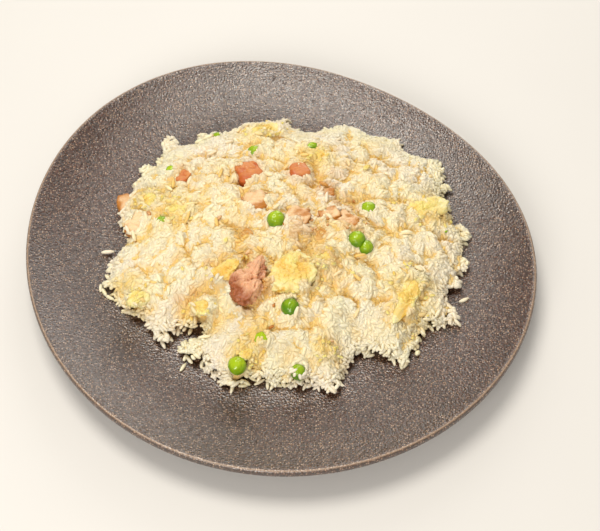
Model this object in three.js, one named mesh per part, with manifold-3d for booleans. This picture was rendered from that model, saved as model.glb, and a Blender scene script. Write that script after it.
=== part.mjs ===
// A plate of fried rice: a matte stoneware plate of uneven round outline, with a low heap of cooked
// rice in its middle. Garden peas, diced ham and roast pork and torn scrambled egg lie half sunk in
// the rice, and a grain and a crumb have dropped beside it.
//
// Millimetres, +Z up. The origin is on the table, under the middle of the plate's outline, and +Y
// points away from the diner. Angles are in degrees, anticlockwise from +X seen from above.

import * as THREE from "three";
import { mergeVertices } from "three/addons/utils/BufferGeometryUtils.js";
import Module from "manifold-3d";

const wasm = await Module();
wasm.setup();

// ---------------------------------------------------------------- driving sizes

const GAP = 0.4; // air kept between neighbouring pieces

// The plate.
const PLATE_RADIUS = 129; // mean radius of the outline
const PLATE_HEIGHT = 20; // from the table to the top of the rim
const PLATE_SIDES = 48;
const FLOOR_HEIGHT = 7; // top of the flat middle above the table
const FLAT_SHARE = 0.64; // share of the radius where the floor begins to rise
const RISE_POWER = 1.9; // how the floor curves up to the rim
const RISE_STEPS = 4; // facets from the flat middle to the rim
const WALL = 4.4; // thickness of the rising part
const RIM_ROUNDING = 1.7;
const FOOT_OUTER_SHARE = 0.58; // the foot ring, as shares of the radius
const FOOT_INNER_SHARE = 0.53;
const FOOT_RECESS = 1.8; // how far the underside inside the foot ring stands off the table
// The outline is a circle with these slow waves on it: how many, how high, and where one peaks.
const PLATE_WAVES = [
  { count: 2, height: 5.6, peak: -50 },
  { count: 3, height: 2, peak: 0 },
  { count: 4, height: 0.4, peak: 20 },
];

// The rice heap.
const HEAP_CENTRE = { x: 4, y: 5 };
const HEAP_RADIUS = 85.5; // of the round outline, before its clumps and gaps
const HEAP_EDGE = 5.5; // how thick the heap is just inside its outline
const HEAP_PEAK = 24; // how thick it is in the middle
const EDGE_ROUNDING = 9; // how far in from the outline the edge reaches its full thickness
const DOME_RADIUS = 94; // where the dome on top of that edge would run out
const CLUMP_SPACING = 18; // the top is made of clumps about this far apart
const CLUMP_RELIEF = 3.6; // height of a clump above the creases round it
const BUMP = 1; // grain-sized bumps all over the heap
const TUCK = 0.975; // the side tucks in to this share of the outline where it meets the plate
const HEAP_RINGS = 23; // rings of grain-sized facets from the centre to the outline
// Clumps that reach past the round outline, and gaps between them.
const CLUMPS = [
  { at: 0, reach: 7, spread: 6 },
  { at: 17, reach: 4, spread: 5 },
  { at: 31, reach: 12, spread: 7 },
  { at: 47, reach: 9, spread: 6 },
  { at: 68, reach: 2, spread: 6 },
  { at: 80, reach: -9, spread: 4 },
  { at: 90, reach: 2, spread: 5 },
  { at: 106, reach: 2, spread: 6 },
  { at: 115, reach: -3, spread: 4 },
  { at: 136, reach: 11, spread: 4 },
  { at: 152, reach: 6, spread: 8 },
  { at: 167, reach: 5, spread: 6 },
  { at: 179, reach: -6, spread: 4 },
  { at: 195, reach: 9, spread: 9 },
  { at: 207, reach: 5, spread: 4 },
  { at: 222, reach: 3, spread: 4 },
  { at: 230, reach: -16, spread: 4 },
  { at: 236, reach: 8, spread: 3 },
  { at: 252, reach: 3, spread: 7 },
  { at: 270, reach: -3, spread: 4 },
  { at: 283, reach: 6, spread: 5 },
  { at: 297, reach: -9, spread: 6 },
  { at: 307, reach: 7, spread: 3 },
  { at: 329, reach: 8, spread: 5 },
  { at: 348, reach: 4, spread: 7 },
];

// One cooked grain of rice.
const GRAIN_LENGTH = 7;
const GRAIN_WIDTH = 2.6;
const RIM_GRAINS = 24; // grains that poke out round the heap's outline

// The toppings. Each has the place of its middle, its length, width and height before it is turned,
// how far its middle sits above the surface of the rice, and how it is turned about Z and then
// tipped back about its own length.
const PEAS = [
  { at: [-1.5, 1], size: [9.2, 9.2, 9], lift: 1.5 },
  { at: [38.5, -9.5], size: [9, 9, 8.8], lift: 1.6 },
  { at: [44, -13], size: [7.4, 7.4, 7], lift: 0.6 },
  { at: [45, 12], size: [8.4, 8.4, 8], lift: -0.8 },
  { at: [6, -48], size: [9.6, 9.6, 9.4], lift: 1.6 },
  { at: [-19, -75], size: [9.4, 9.4, 9.2], lift: 1.8 },
  { at: [9.5, -76.5], size: [8, 8, 9], lift: 0 },
  { at: [-7.7, -62.5], size: [7.6, 7.6, 7.4], lift: -0.8 },
  { at: [-35, 79], size: [8, 8, 7.6], lift: 0.6 },
  { at: [16, 57], size: [9, 8, 5.5], lift: 0.4 },
  { at: [-13.5, 53.5], size: [8, 7.5, 7], lift: -0.8 },
  { at: [-59, 6], size: [7.6, 8, 8], lift: -0.4 },
  { at: [-57, 45], size: [8, 8, 7.4], lift: -1.6 },
];
const HAM = [
  { at: [-16, 37], size: [13, 12, 10], lift: 1.6, turn: 24, tip: 10 },
  { at: [10.5, 35.5], size: [10, 12, 9], lift: 1.4, turn: 12, tip: -8 },
  { at: [-50, 38], size: [6, 9, 6], lift: 0.6, turn: -25, tip: 0 },
];
const PORK = [
  { at: [-12.5, 14], size: [11, 12, 11], lift: 1.2, turn: 8, tip: 5 },
  { at: [9, 1.5], size: [12, 14, 10], lift: 0.8, turn: -28, tip: 12 },
  { at: [25, 6], size: [10, 8, 7], lift: 0.8, turn: 20, tip: 0 },
  { at: [34.5, 3], size: [12, 8, 8], lift: 0.6, turn: -40, tip: 15 },
  { at: [-14, -34], size: [29, 17, 14], lift: 2, turn: 68, tip: 0, shape: "torn" },
  { at: [-82, 31], size: [7, 12, 7], lift: 2.5, turn: 10, tip: 0 },
  { at: [-73, 10], size: [11, 14, 9], lift: 1.5, turn: -12, tip: 15 },
  { at: [24.5, 21], size: [8, 5, 5], lift: 0.8, turn: 10, tip: 0 },
];
const EGG = [
  { at: [6.5, -31], size: [24, 20, 13], lift: 2, turn: 30, shape: "torn" },
  { at: [-19.5, -27.5], size: [24, 15, 11], lift: 1.2, turn: 10, shape: "torn" },
  { at: [62.5, -37], size: [33, 12, 9], lift: 0.6, turn: 62, shape: "torn" },
  { at: [74.5, 17.5], size: [28, 11, 9], lift: 0.6, turn: 18, shape: "torn" },
  { at: [-51, 12.5], size: [14, 12, 9], lift: 1, turn: 20 },
  { at: [-68, 24], size: [13, 9, 8], lift: 0.6, turn: -30 },
  { at: [-10, 73], size: [20, 11, 9], lift: 0.8, turn: 8, shape: "torn" },
  { at: [20, 49], size: [11, 9, 7], lift: 0.4, turn: -20 },
  { at: [-69, -36], size: [12, 9, 8], lift: 1, turn: 10 },
  { at: [-37.5, -44.5], size: [12, 9, 7], lift: 0.6, turn: 0 },
  { at: [-14, -67], size: [14, 7, 7], lift: 0.4, turn: 60 },
  { at: [23, -68], size: [8, 6, 6], lift: 0.4, turn: 30 },
  { at: [22, -21.5], size: [10, 8, 7], lift: 0.6, turn: 15 },
];
// Rice that has dropped on the plate: a whole grain and a broken one.
const DROPPED = [
  { at: [-88, 0], length: 7, width: 2.8, turn: 5 },
  { at: [67, -61.5], length: 3.2, width: 2.6, turn: 50 },
];

// ---------------------------------------------------------------- small helpers

const radians = THREE.MathUtils.degToRad;

// A seeded random number source, from 0 up to 1.
function randomSource(seed) {
  let state = seed;
  return () => {
    state = (state + 0x6d2b79f5) | 0;
    let mixed = Math.imul(state ^ (state >>> 15), 1 | state);
    mixed = (mixed + Math.imul(mixed ^ (mixed >>> 7), 61 | mixed)) ^ mixed;
    return ((mixed ^ (mixed >>> 14)) >>> 0) / 4294967296;
  };
}

// A fixed random number from 0 to 1 for each point of a whole-number lattice.
function latticeRandom(i, j, k) {
  const seed = Math.imul(i, 73856093) ^ Math.imul(j, 19349663) ^ Math.imul(k, 83492791);
  return randomSource(seed)();
}

// Smooth random swells from -1 to 1, about one unit long.
function swell(x, y, z) {
  const [i, j, k] = [Math.floor(x), Math.floor(y), Math.floor(z)];
  const ease = (t) => t * t * (3 - 2 * t);
  const [u, v, w] = [ease(x - i), ease(y - j), ease(z - k)];
  let sum = 0;
  for (let corner = 0; corner < 8; corner++) {
    const [a, b, c] = [corner & 1, (corner >> 1) & 1, corner >> 2];
    const weight = (a ? u : 1 - u) * (b ? v : 1 - v) * (c ? w : 1 - w);
    sum += weight * latticeRandom(i + a, j + b, k + c);
  }
  return 2 * sum - 1;
}

// A closed three.js geometry as a solid that can be joined and cut.
function solidFrom(geometry, matrix = new THREE.Matrix4()) {
  const bare = geometry.index ? geometry.toNonIndexed() : geometry.clone();
  bare.deleteAttribute("normal");
  bare.deleteAttribute("uv");
  bare.applyMatrix4(matrix);
  const merged = mergeVertices(bare, 1e-4);
  return new wasm.Manifold(
    new wasm.Mesh({
      numProp: 3,
      vertProperties: new Float32Array(merged.attributes.position.array),
      triVerts: new Uint32Array(merged.index.array),
    }),
  );
}

// The largest body of a solid, so that a cut leaves no loose scraps.
function largestBody(solid) {
  return solid.decompose().reduce((best, body) => (body.volume() > best.volume() ? body : best));
}

// A place, a turn about Z and a tip about the piece's own length, as one matrix.
function placing(x, y, z, turn, tip = 0) {
  return new THREE.Matrix4()
    .makeTranslation(x, y, z)
    .multiply(new THREE.Matrix4().makeRotationZ(radians(turn)))
    .multiply(new THREE.Matrix4().makeRotationX(radians(tip)));
}

// ---------------------------------------------------------------- plate

function waveRadius(angle) {
  let radius = PLATE_RADIUS;
  for (const { count, height, peak } of PLATE_WAVES) {
    radius += height * Math.cos(count * (angle - radians(peak)));
  }
  return radius;
}

// The middle of the wavy outline's bounding box, which becomes the origin.
function outlineMiddle() {
  const box = new THREE.Box2();
  for (let side = 0; side < PLATE_SIDES; side++) {
    const angle = (side / PLATE_SIDES) * 2 * Math.PI;
    const spoke = new THREE.Vector2(Math.cos(angle), Math.sin(angle));
    box.expandByPoint(spoke.multiplyScalar(waveRadius(angle)));
  }
  return box.getCenter(new THREE.Vector2());
}

const PLATE_MIDDLE = outlineMiddle();

// The upper surface from the edge of the flat middle to the rim, as [share of the radius, height].
const RISE = [];
for (let step = 0; step <= RISE_STEPS; step++) {
  const climb = step / RISE_STEPS;
  const share = THREE.MathUtils.lerp(FLAT_SHARE, 1 - RIM_ROUNDING / PLATE_RADIUS, climb);
  RISE.push([share, THREE.MathUtils.lerp(FLOOR_HEIGHT, PLATE_HEIGHT, Math.pow(climb, RISE_POWER))]);
}

// Height of the plate's upper surface under a point.
function plateTop(x, y) {
  const [dx, dy] = [x + PLATE_MIDDLE.x, y + PLATE_MIDDLE.y];
  const share = Math.hypot(dx, dy) / waveRadius(Math.atan2(dy, dx));
  const above = RISE.findIndex(([end]) => share < end);
  if (above === 0) return FLOOR_HEIGHT;
  if (above < 0) return PLATE_HEIGHT;
  const [[startShare, startHeight], [endShare, endHeight]] = [RISE[above - 1], RISE[above]];
  return THREE.MathUtils.mapLinear(share, startShare, endShare, startHeight, endHeight);
}

// The plate's half section, from the middle of its underside round the foot and rim to the middle of
// its top, turned about the axis and then stretched out to the wavy outline.
function plateGeometry() {
  const section = [
    [0, FOOT_RECESS],
    [FOOT_INNER_SHARE - 0.02, FOOT_RECESS],
    [FOOT_INNER_SHARE, 0],
    [FOOT_OUTER_SHARE, 0],
    [FOOT_OUTER_SHARE + 0.02, FLOOR_HEIGHT - WALL],
    [RISE[2][0] + 0.01, RISE[2][1] - WALL],
    [1, PLATE_HEIGHT - 2 * RIM_ROUNDING],
    [1, PLATE_HEIGHT - RIM_ROUNDING / 2],
    ...RISE.toReversed(),
    [0, FLOOR_HEIGHT],
  ];
  const points = section.map(([share, height]) => new THREE.Vector2(share * PLATE_RADIUS, height));
  const geometry = new THREE.LatheGeometry(points, PLATE_SIDES).rotateX(Math.PI / 2);
  const position = geometry.getAttribute("position");
  for (let i = 0; i < position.count; i++) {
    const [x, y] = [position.getX(i), position.getY(i)];
    const stretch = waveRadius(Math.atan2(y, x)) / PLATE_RADIUS;
    position.setXY(i, x * stretch - PLATE_MIDDLE.x, y * stretch - PLATE_MIDDLE.y);
  }
  return geometry;
}

// ---------------------------------------------------------------- rice heap

// The part of the heap's outline at an angle that its clumps and gaps add to the round radius.
function clumpReach(angle) {
  let sum = 0;
  for (const { at, reach, spread } of CLUMPS) {
    const apart = THREE.MathUtils.euclideanModulo(angle / radians(1) - at + 180, 360) - 180;
    sum += reach * Math.exp(-((apart / spread) ** 2));
  }
  return sum;
}

// Clumps on the top: each is a low dome round its own seed point, with creases where they meet.
function clumpRelief(x, y) {
  const [column, row] = [Math.floor(x / CLUMP_SPACING), Math.floor(y / CLUMP_SPACING)];
  let nearest = Infinity;
  for (let i = column - 1; i <= column + 1; i++) {
    for (let j = row - 1; j <= row + 1; j++) {
      const seedX = (i + 0.15 + 0.7 * latticeRandom(i, j, 1)) * CLUMP_SPACING;
      const seedY = (j + 0.15 + 0.7 * latticeRandom(i, j, 2)) * CLUMP_SPACING;
      nearest = Math.min(nearest, Math.hypot(x - seedX, y - seedY));
    }
  }
  return CLUMP_RELIEF * (0.5 - (nearest / (0.75 * CLUMP_SPACING)) ** 2);
}

// The heap keeps a hair more than the gap off the plate, so a trim to the gap spares its underside.
function heapBottom(x, y) {
  return plateTop(x, y) + GAP + 0.1;
}

// Height of the heap's top surface, without its grain-sized bumps.
function heapTop(x, y) {
  const [dx, dy] = [x - HEAP_CENTRE.x, y - HEAP_CENTRE.y];
  const out = Math.hypot(dx, dy);
  const inward = HEAP_RADIUS + clumpReach(Math.atan2(dy, dx)) - out;
  const nearEdge = THREE.MathUtils.clamp(1 - inward / EDGE_ROUNDING, 0, 1);
  const edge = Math.sqrt(1 - nearEdge ** 2);
  const dome = (HEAP_PEAK - HEAP_EDGE) * Math.max(0, 1 - (out / DOME_RADIUS) ** 2.2);
  return heapBottom(x, y) + edge * (HEAP_EDGE + dome + clumpRelief(x, y));
}

// A point of the heap's plan, from its share of the way out to the outline. The clumps of the outline
// fade out quickly towards the middle.
function heapPlace(share, angle) {
  const reach = share * (HEAP_RADIUS + clumpReach(angle) * share ** 5);
  return [HEAP_CENTRE.x + reach * Math.cos(angle), HEAP_CENTRE.y + reach * Math.sin(angle)];
}

// Rings of grain-sized facets, six more in each ring than in the last, as in a honeycomb.
function heapCore() {
  const points = [];
  const faces = [];
  const random = randomSource(11);
  const addPoint = (share, angle, heightAt) => {
    const [x, y] = heapPlace(share, angle);
    points.push(x, y, heightAt(x, y));
    return points.length / 3 - 1;
  };
  const bumpyTop = (x, y) => heapTop(x, y) + BUMP * (2 * random() - 1);
  const lip = (x, y) => heapBottom(x, y) + 1.2 + 1.6 * random();
  const rings = [[addPoint(0, 0, bumpyTop)]];
  for (let ring = 1; ring <= HEAP_RINGS; ring++) {
    const last = ring === HEAP_RINGS;
    const indices = [];
    for (let i = 0; i < 6 * ring; i++) {
      const jitter = last ? [0, 0] : [0.5 * (random() - 0.5), 0.4 * (random() - 0.5)];
      const angle = ((i + jitter[0]) / (6 * ring)) * 2 * Math.PI;
      indices.push(addPoint((ring + jitter[1]) / HEAP_RINGS, angle, last ? lip : bumpyTop));
    }
    rings.push(indices);
  }
  for (let ring = 0; ring < HEAP_RINGS; ring++) {
    const [inner, outer] = [rings[ring], rings[ring + 1]];
    for (let sector = 0; sector < 6; sector++) {
      for (let j = 0; j <= ring; j++) {
        const innerAt = (step) => inner[(sector * ring + step) % inner.length];
        const outerAt = (step) => outer[(sector * (ring + 1) + step) % outer.length];
        faces.push(innerAt(j), outerAt(j), outerAt(j + 1));
        if (j < ring) faces.push(innerAt(j), outerAt(j + 1), innerAt(j + 1));
      }
    }
  }
  // The side tucks in under the edge, and the underside follows the plate.
  const outline = rings[HEAP_RINGS];
  const under = outline.map((_, i) => addPoint(TUCK, (i / outline.length) * 2 * Math.PI, heapBottom));
  const bottom = addPoint(0, 0, heapBottom);
  outline.forEach((index, i) => {
    const next = (i + 1) % outline.length;
    faces.push(index, under[i], under[next], index, under[next], outline[next]);
    faces.push(under[i], bottom, under[next]);
  });
  const geometry = new THREE.BufferGeometry()
    .setAttribute("position", new THREE.Float32BufferAttribute(points, 3))
    .setIndex(faces);
  return solidFrom(geometry);
}

// A grain is a few-sided spindle that lies along X before it is placed.
function grain(length, width, matrix) {
  const geometry = new THREE.SphereGeometry(0.5, 5, 4).scale(width, length, width).rotateZ(Math.PI / 2);
  return solidFrom(geometry, matrix);
}

// Grains that poke out of the heap's edge, spread evenly round it.
function rimGrains() {
  const random = randomSource(23);
  const grains = [];
  for (let i = 0; i < RIM_GRAINS; i++) {
    const angle = ((i + 0.7 * random()) / RIM_GRAINS) * 2 * Math.PI;
    const [x, y] = heapPlace(1 - 0.01 * random(), angle);
    const height = heapBottom(x, y) + 2 + 1.5 * random();
    const turn = angle / radians(1) + 100 * (random() - 0.5);
    grains.push(grain(GRAIN_LENGTH, GRAIN_WIDTH, placing(x, y, height, turn)));
  }
  return grains;
}

// ---------------------------------------------------------------- toppings

// Moves each point out or in to a rounded box of the given size: a high squareness makes it boxy and
// 2 makes it an ellipsoid. Swells of the given roughness then make it uneven.
function shapeLump(geometry, size, squareness, roughness, seed) {
  const position = geometry.getAttribute("position");
  const point = new THREE.Vector3();
  for (let i = 0; i < position.count; i++) {
    point.fromBufferAttribute(position, i);
    const powers = point.toArray().map((value) => Math.abs(value) ** squareness);
    point.divideScalar((powers[0] + powers[1] + powers[2]) ** (1 / squareness));
    const uneven = swell(1.6 * point.x + 10 * seed, 1.6 * point.y, 1.6 * point.z);
    point.multiplyScalar(1 + roughness * uneven);
    position.setXYZ(i, point.x * size[0] * 0.5, point.y * size[1] * 0.5, point.z * size[2] * 0.5);
  }
  return geometry;
}

// A cube with each face split in three, the outer strips kept narrow as its bevels.
function bevelledCube() {
  const geometry = new THREE.BoxGeometry(2, 2, 2, 3, 3, 3);
  const values = geometry.getAttribute("position").array;
  values.forEach((value, i) => {
    if (Math.abs(value) < 0.5) values[i] = Math.sign(value) * 0.66;
  });
  return geometry;
}

const cube = () => new THREE.BoxGeometry(2, 2, 2);
const ball = (detail) => () => new THREE.IcosahedronGeometry(1, detail);

// How each kind of piece is made: the facets it starts from, and how boxy and uneven it is. A piece's
// socket in the rice has the same form, or a plainer one that stands off by a share of the size.
const SHAPES = {
  pea: { facets: ball(1), squareness: 2, roughness: 0.02 },
  dice: {
    facets: bevelledCube,
    squareness: 7,
    roughness: 0.12,
    socket: { facets: cube, squareness: 50, roughness: 0, play: 0.03 },
  },
  torn: { facets: ball(2), squareness: 2.6, roughness: 0.26 },
  scrap: { facets: ball(1), squareness: 2.6, roughness: 0.26 },
};

function pieceGeometry(shape, size, seed) {
  return shapeLump(shape.facets(), size, shape.squareness, shape.roughness, seed);
}

function socketGeometry(shape, size, seed) {
  const socket = shape.socket ?? shape;
  const grown = size.map((value) => value * (1 + 2 * (socket.play ?? 0)) + 2 * GAP);
  return pieceGeometry(socket, grown, seed);
}

// ---------------------------------------------------------------- building

const MATERIALS = {
  plate: new THREE.MeshStandardMaterial({ color: 0x5d524c, roughness: 0.55, metalness: 0 }),
  rice: new THREE.MeshStandardMaterial({ color: 0xf6ecd2, roughness: 0.5, metalness: 0 }),
  pea: new THREE.MeshStandardMaterial({ color: 0x5fae1e, roughness: 0.35, metalness: 0 }),
  ham: new THREE.MeshStandardMaterial({ color: 0xdf8f6c, roughness: 0.45, metalness: 0 }),
  pork: new THREE.MeshStandardMaterial({ color: 0xd8ab85, roughness: 0.5, metalness: 0 }),
  egg: new THREE.MeshStandardMaterial({ color: 0xf7dd78, roughness: 0.5, metalness: 0 }),
};

const part = new THREE.Group();
part.name = "fried_rice_plate";

function addNode(name, solid, material) {
  const { vertProperties, triVerts } = solid.getMesh();
  const geometry = new THREE.BufferGeometry()
    .setAttribute("position", new THREE.BufferAttribute(new Float32Array(vertProperties), 3))
    .setIndex(new THREE.BufferAttribute(new Uint32Array(triVerts), 1));
  geometry.computeVertexNormals();
  const mesh = new THREE.Mesh(geometry, material);
  mesh.name = name;
  part.add(mesh);
}

const plate = solidFrom(plateGeometry());
const raisedPlate = plate.translate([0, 0, GAP]);
addNode("plate", plate, MATERIALS.plate);

// The toppings, peas first: a later piece gives way to the earlier ones beside it.
const TOPPINGS = [
  { name: "pea", rows: PEAS, shape: "pea" },
  { name: "ham", rows: HAM, shape: "dice" },
  { name: "pork", rows: PORK, shape: "dice" },
  { name: "egg", rows: EGG, shape: "scrap" },
];
const sockets = [];
for (const { name, rows, shape } of TOPPINGS) {
  rows.forEach((row, i) => {
    const [x, y] = row.at;
    const matrix = placing(x, y, heapTop(x, y) + row.lift, row.turn ?? 0, row.tip);
    const kind = SHAPES[row.shape ?? shape];
    const seed = rows.length + i;
    let solid = solidFrom(pieceGeometry(kind, row.size, seed), matrix).subtract(raisedPlate);
    for (const socket of sockets) solid = solid.subtract(socket);
    addNode(`${name}_${i + 1}`, largestBody(solid), MATERIALS[name]);
    sockets.push(solidFrom(socketGeometry(kind, row.size, seed), matrix));
  });
}

// The heap takes in its loose grains, and is cut away round each topping.
const heaped = wasm.Manifold.union([heapCore(), ...rimGrains()]);
const rice = heaped.subtract(raisedPlate).subtract(wasm.Manifold.union(sockets));
addNode("rice_heap", largestBody(rice), MATERIALS.rice);

DROPPED.forEach(({ at: [x, y], length, width, turn }, i) => {
  const matrix = placing(x, y, plateTop(x, y) + GAP + width / 2, turn);
  addNode(`dropped_${i + 1}`, grain(length, width, matrix), MATERIALS.rice);
});

export default part;
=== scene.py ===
import math
from functools import cache

import bpy
import numpy as np
from bpy.props import FloatProperty, FloatVectorProperty, IntProperty, PointerProperty
from mathutils.bvhtree import BVHTree
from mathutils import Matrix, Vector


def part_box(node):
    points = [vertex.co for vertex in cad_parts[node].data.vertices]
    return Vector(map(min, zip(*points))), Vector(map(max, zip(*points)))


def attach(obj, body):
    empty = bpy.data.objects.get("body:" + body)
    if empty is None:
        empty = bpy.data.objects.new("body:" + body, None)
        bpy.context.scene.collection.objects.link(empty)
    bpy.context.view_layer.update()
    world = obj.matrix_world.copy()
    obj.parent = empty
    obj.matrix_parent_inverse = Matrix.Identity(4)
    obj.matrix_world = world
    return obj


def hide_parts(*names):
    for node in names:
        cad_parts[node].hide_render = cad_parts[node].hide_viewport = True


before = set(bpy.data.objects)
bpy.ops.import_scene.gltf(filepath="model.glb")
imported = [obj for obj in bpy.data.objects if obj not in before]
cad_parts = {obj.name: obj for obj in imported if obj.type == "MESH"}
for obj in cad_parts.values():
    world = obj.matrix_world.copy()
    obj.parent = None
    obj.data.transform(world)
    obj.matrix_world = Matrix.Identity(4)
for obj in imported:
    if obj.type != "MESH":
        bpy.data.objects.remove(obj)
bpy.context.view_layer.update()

bl_info = {
    "name": "Fried rice plate",
    "version": (1, 0, 0),
    "blender": (4, 5, 0),
    "location": "View3D > Sidebar > Rice",
    "description": "Builds a stoneware plate of fried rice with peas, ham, roast pork and egg",
    "category": "Add Mesh",
}

# All shapes are worked out in millimetres and turned into metres where a mesh is made. The origin
# is on the table under the middle of the plate, +Y points away from the diner and +Z points up.

MM = 0.001

# ------------------------------------------------------------------------------- sizes of the dish

FLAT_SHARE = 0.64  # share of the radius where the plate's floor begins to rise
RISE_POWER = 1.9  # the larger, the later the wall steepens
WALL = 4.4  # thickness of the wall and the rim
RIM_ROUNDING = 1.7  # how wide the rim's rounding is
FOOT_INNER_SHARE = 0.53  # the foot ring lies between these two shares of the radius
FOOT_OUTER_SHARE = 0.58
FOOT_RECESS = 1.8  # height of the underside inside the foot
FOOT_ROUND_SHARE = 0.006  # width of the foot's rounded edges
FOOT_ROUND = 0.8  # their height
FOOT_TOP = 1.9  # where the foot's outer side meets the wall
RIM_HIGHLIGHT_SHARE = 0.992  # where a thin pale line is painted along the rim's edge, a painted highlight
RIM_HIGHLIGHT_WIDTH = 0.009
PLATE_WAVES = ((2, 5.6, -50.0), (3, 2.0, 0.0), (4, 0.4, 20.0))  # count, height, angle of a peak
PLATE_SPOKES = 360

HEAP_MIDDLE = np.array([4.0, 5.0])
BED_CELL = 0.4  # cell of the fine height map that the grains are poured on
RAY_CELL = 1.0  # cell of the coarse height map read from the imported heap
MAP_MARGIN = 8  # how far the maps reach past the heap
NOTHING = -50.0  # height on a map where there is nothing
MOST_DEPTH = 22  # the depth inside the outline is counted up to this many cells
BURIED = 3.0  # stands for a share of a topping where rice lies over all of it
BRIM_FALL = 0.5  # how much each ring of cells round a topping's top falls
TOP_SINK = 1.4  # grains may be pressed this far into a topping

CORE_SPOKES = 560
CORE_UNDER_RINGS = 8
CORE_SIDE_RINGS = 9
CORE_TOP_RINGS = 140
CORE_LIFT = 0.5  # gap between the core and the plate

# The clumps on the heap: distance between them, share of their height where their tops are cut
# flat, and seed. The large and the middling ones take turns over the heap.
LARGE_CLUMPS = (16, 0.82, 12)
MIDDLING_CLUMPS = (9.5, 0.8, 17)
SMALL_CLUMPS = (5.6, 0.75, 18)
SMALL_CLUMP_HEIGHT = 0.34  # as a share of the large ones' height
CLUMP_DROP = 0.72  # all clumps are lowered by this share, so that the heap keeps its height

# The grains: spreads are shares of the mean, turns and slopes are in radians and rise over run.
LENGTH_SPREAD = 0.09
WIDTH_SPREAD = 0.08
BROKEN_SHARE = 0.3  # this share of the grains is broken
BROKEN_LENGTHS = (0.45, 0.75)
TURN_REACH = 1.25  # how far a grain turns out of its neighbours' way
TILT_SPREAD = 0.48
LIFT_SPREAD = 0.4
LYING_SHARE = 0.5  # this share of the grains by the outline lies on what is under it
RIM_DEPTH = 4.5  # nearer to the outline than this, grains point outwards
RIM_TURN_SPREAD = 1.15
RIM_LENGTH = 0.88
MOST_OVERSHOOT = 1.3  # a grain that would stick out further than this is left out
PRUNED_BELOW = 0.25  # a grain that ends up deeper than this under the others is left out
GRAINS_A_PIECE = 2600

SEED = 20

# Where sauce or egg has run into the rice, and where brown is painted shade in creases and
# beside the pieces: place, radius, how yellow and how brown.
STAINS_AND_SHADE = (
    (23, -19, 5, 0.4, 0.7), (12, -25, 5, 0.6, 0.6), (-16, -17, 4, 0.5, 0.9),
    (-28, -21, 4.5, 0.7, 0.5), (-21, -28, 4, 0.8, 0.5), (-39, -36, 4.5, 0.3, 0.9),
    (-46, -40, 4, 0.3, 0.6), (-33, -32, 5, 0.3, 0.25), (-11, -61, 5, 0.9, 0.2),
    (-5, -57, 3.5, 0.9, 0.2), (-19, -69, 5, 0.9, 0.2), (-7, -38, 4.5, 0.2, 0.8),
    (-13, -45, 4, 0.1, 0.6), (1, -46, 6, -0.7, -0.4), (10, 0, 4, 0.2, 0.7), (8.5, -8, 4, 0.2, 0.8),
    (35, 0, 4.5, 0.2, 0.8), (40, -6, 4, 0.4, 0.4), (23, 25, 4, 0.1, 0.7), (-52, 43, 4, 0.1, 0.6),
    (-70, 31, 6, 0.6, 0.1), (-54, 9, 6, 0.6, 0.15), (-72, -24, 5, 0.7, 0.1),
    (-79, -25, 4, 0.6, 0.2), (-49, -16, 3.5, 0.6, 0.3), (22, -64, 5, 0.6, 0.2),
    (6, -68, 5, 0.5, 0.2), (27, -33, 5, 0.2, 0.4), (46, 62, 7, 0.6, 0), (34, 41, 6, 0.3, 0.2),
    (-14, 62, 7, 0.5, 0.1), (18, 48, 6, 0.5, 0.1), (78, 14, 7, 0.6, 0.1), (63, -36, 8, 0.5, 0.2),
    (55, -47, 5, 0.6, 0.2), (-16.5, -3, 3, 0.4, 1.0), (-20, -6, 3, 0.6, 0.5),
    (25.5, 23, 3.5, 0.1, 0.9), (36, 14, 4.5, 0.1, 1.0), (29, 15, 3, 0.1, 0.7),
    (20, -5, 4.5, 0.5, 0.9), (29.5, -24, 2.5, 0.4, 0.7), (8.5, 7, 3.5, 0.2, 0.8),
    (-43, 37, 4, 0.5, 0.3), (-56, 14, 6, 0.5, 0.1), (-26, 0, 3, 0.3, 0.4), (43, 3, 3, 0.3, 0.3),
    (-26, -41, 6.5, -1.5, -1.0), (-31, -29, 4, -0.8, -0.2),
)

# Small gaps in the heap's rim and small clumps that stick out of it: place and radius.
RIM_GAPS = (
    (-83, -39, 6.5), (-76, -43.5, 4.5), (-71.5, -51, 6), (-64, -59.5, 4), (-53.5, -59.5, 3),
    (-47, -52, 3.2), (-39, -51.2, 3.2), (-46, -70.5, 5.5), (-39, -72.5, 5), (-33, -78.5, 5),
    (-26, -85, 4.5), (-10, -80.5, 2.5), (-5, -87, 4.5), (8, -85, 3), (16.5, -85.3, 5.2),
    (37.5, -71.5, 3.5), (37, -76, 6.5), (41.5, -68, 4), (46, -68.5, 5), (52, -69.5, 5),
    (54, -76, 6), (80, -51, 3), (70.5, -60, 4), (87, -29, 4), (97, 1.5, 3), (93, 23, 3),
    (88.5, 33.5, 3.8), (80, 66, 4.5), (72.5, 69, 6.5), (62, 78.5, 5), (55, 82.5, 5), (35, 90.5, 5),
    (27, 89.5, 6), (15, 86, 5.5), (20, 87.5, 6), (10, 88, 5), (-5, 94.5, 5.5), (-15, 93.5, 5.5),
    (-27, 87, 4), (-68, 67, 3.5), (-83, 11, 4), (-68.5, -44.5, 3.6), (-65, -52, 3.2),
    (-77, -39, 2.6), (-13, -80.5, 2.6), (66.5, -61.5, 2.6), (-80, -35.5, 2.4),
)
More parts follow.
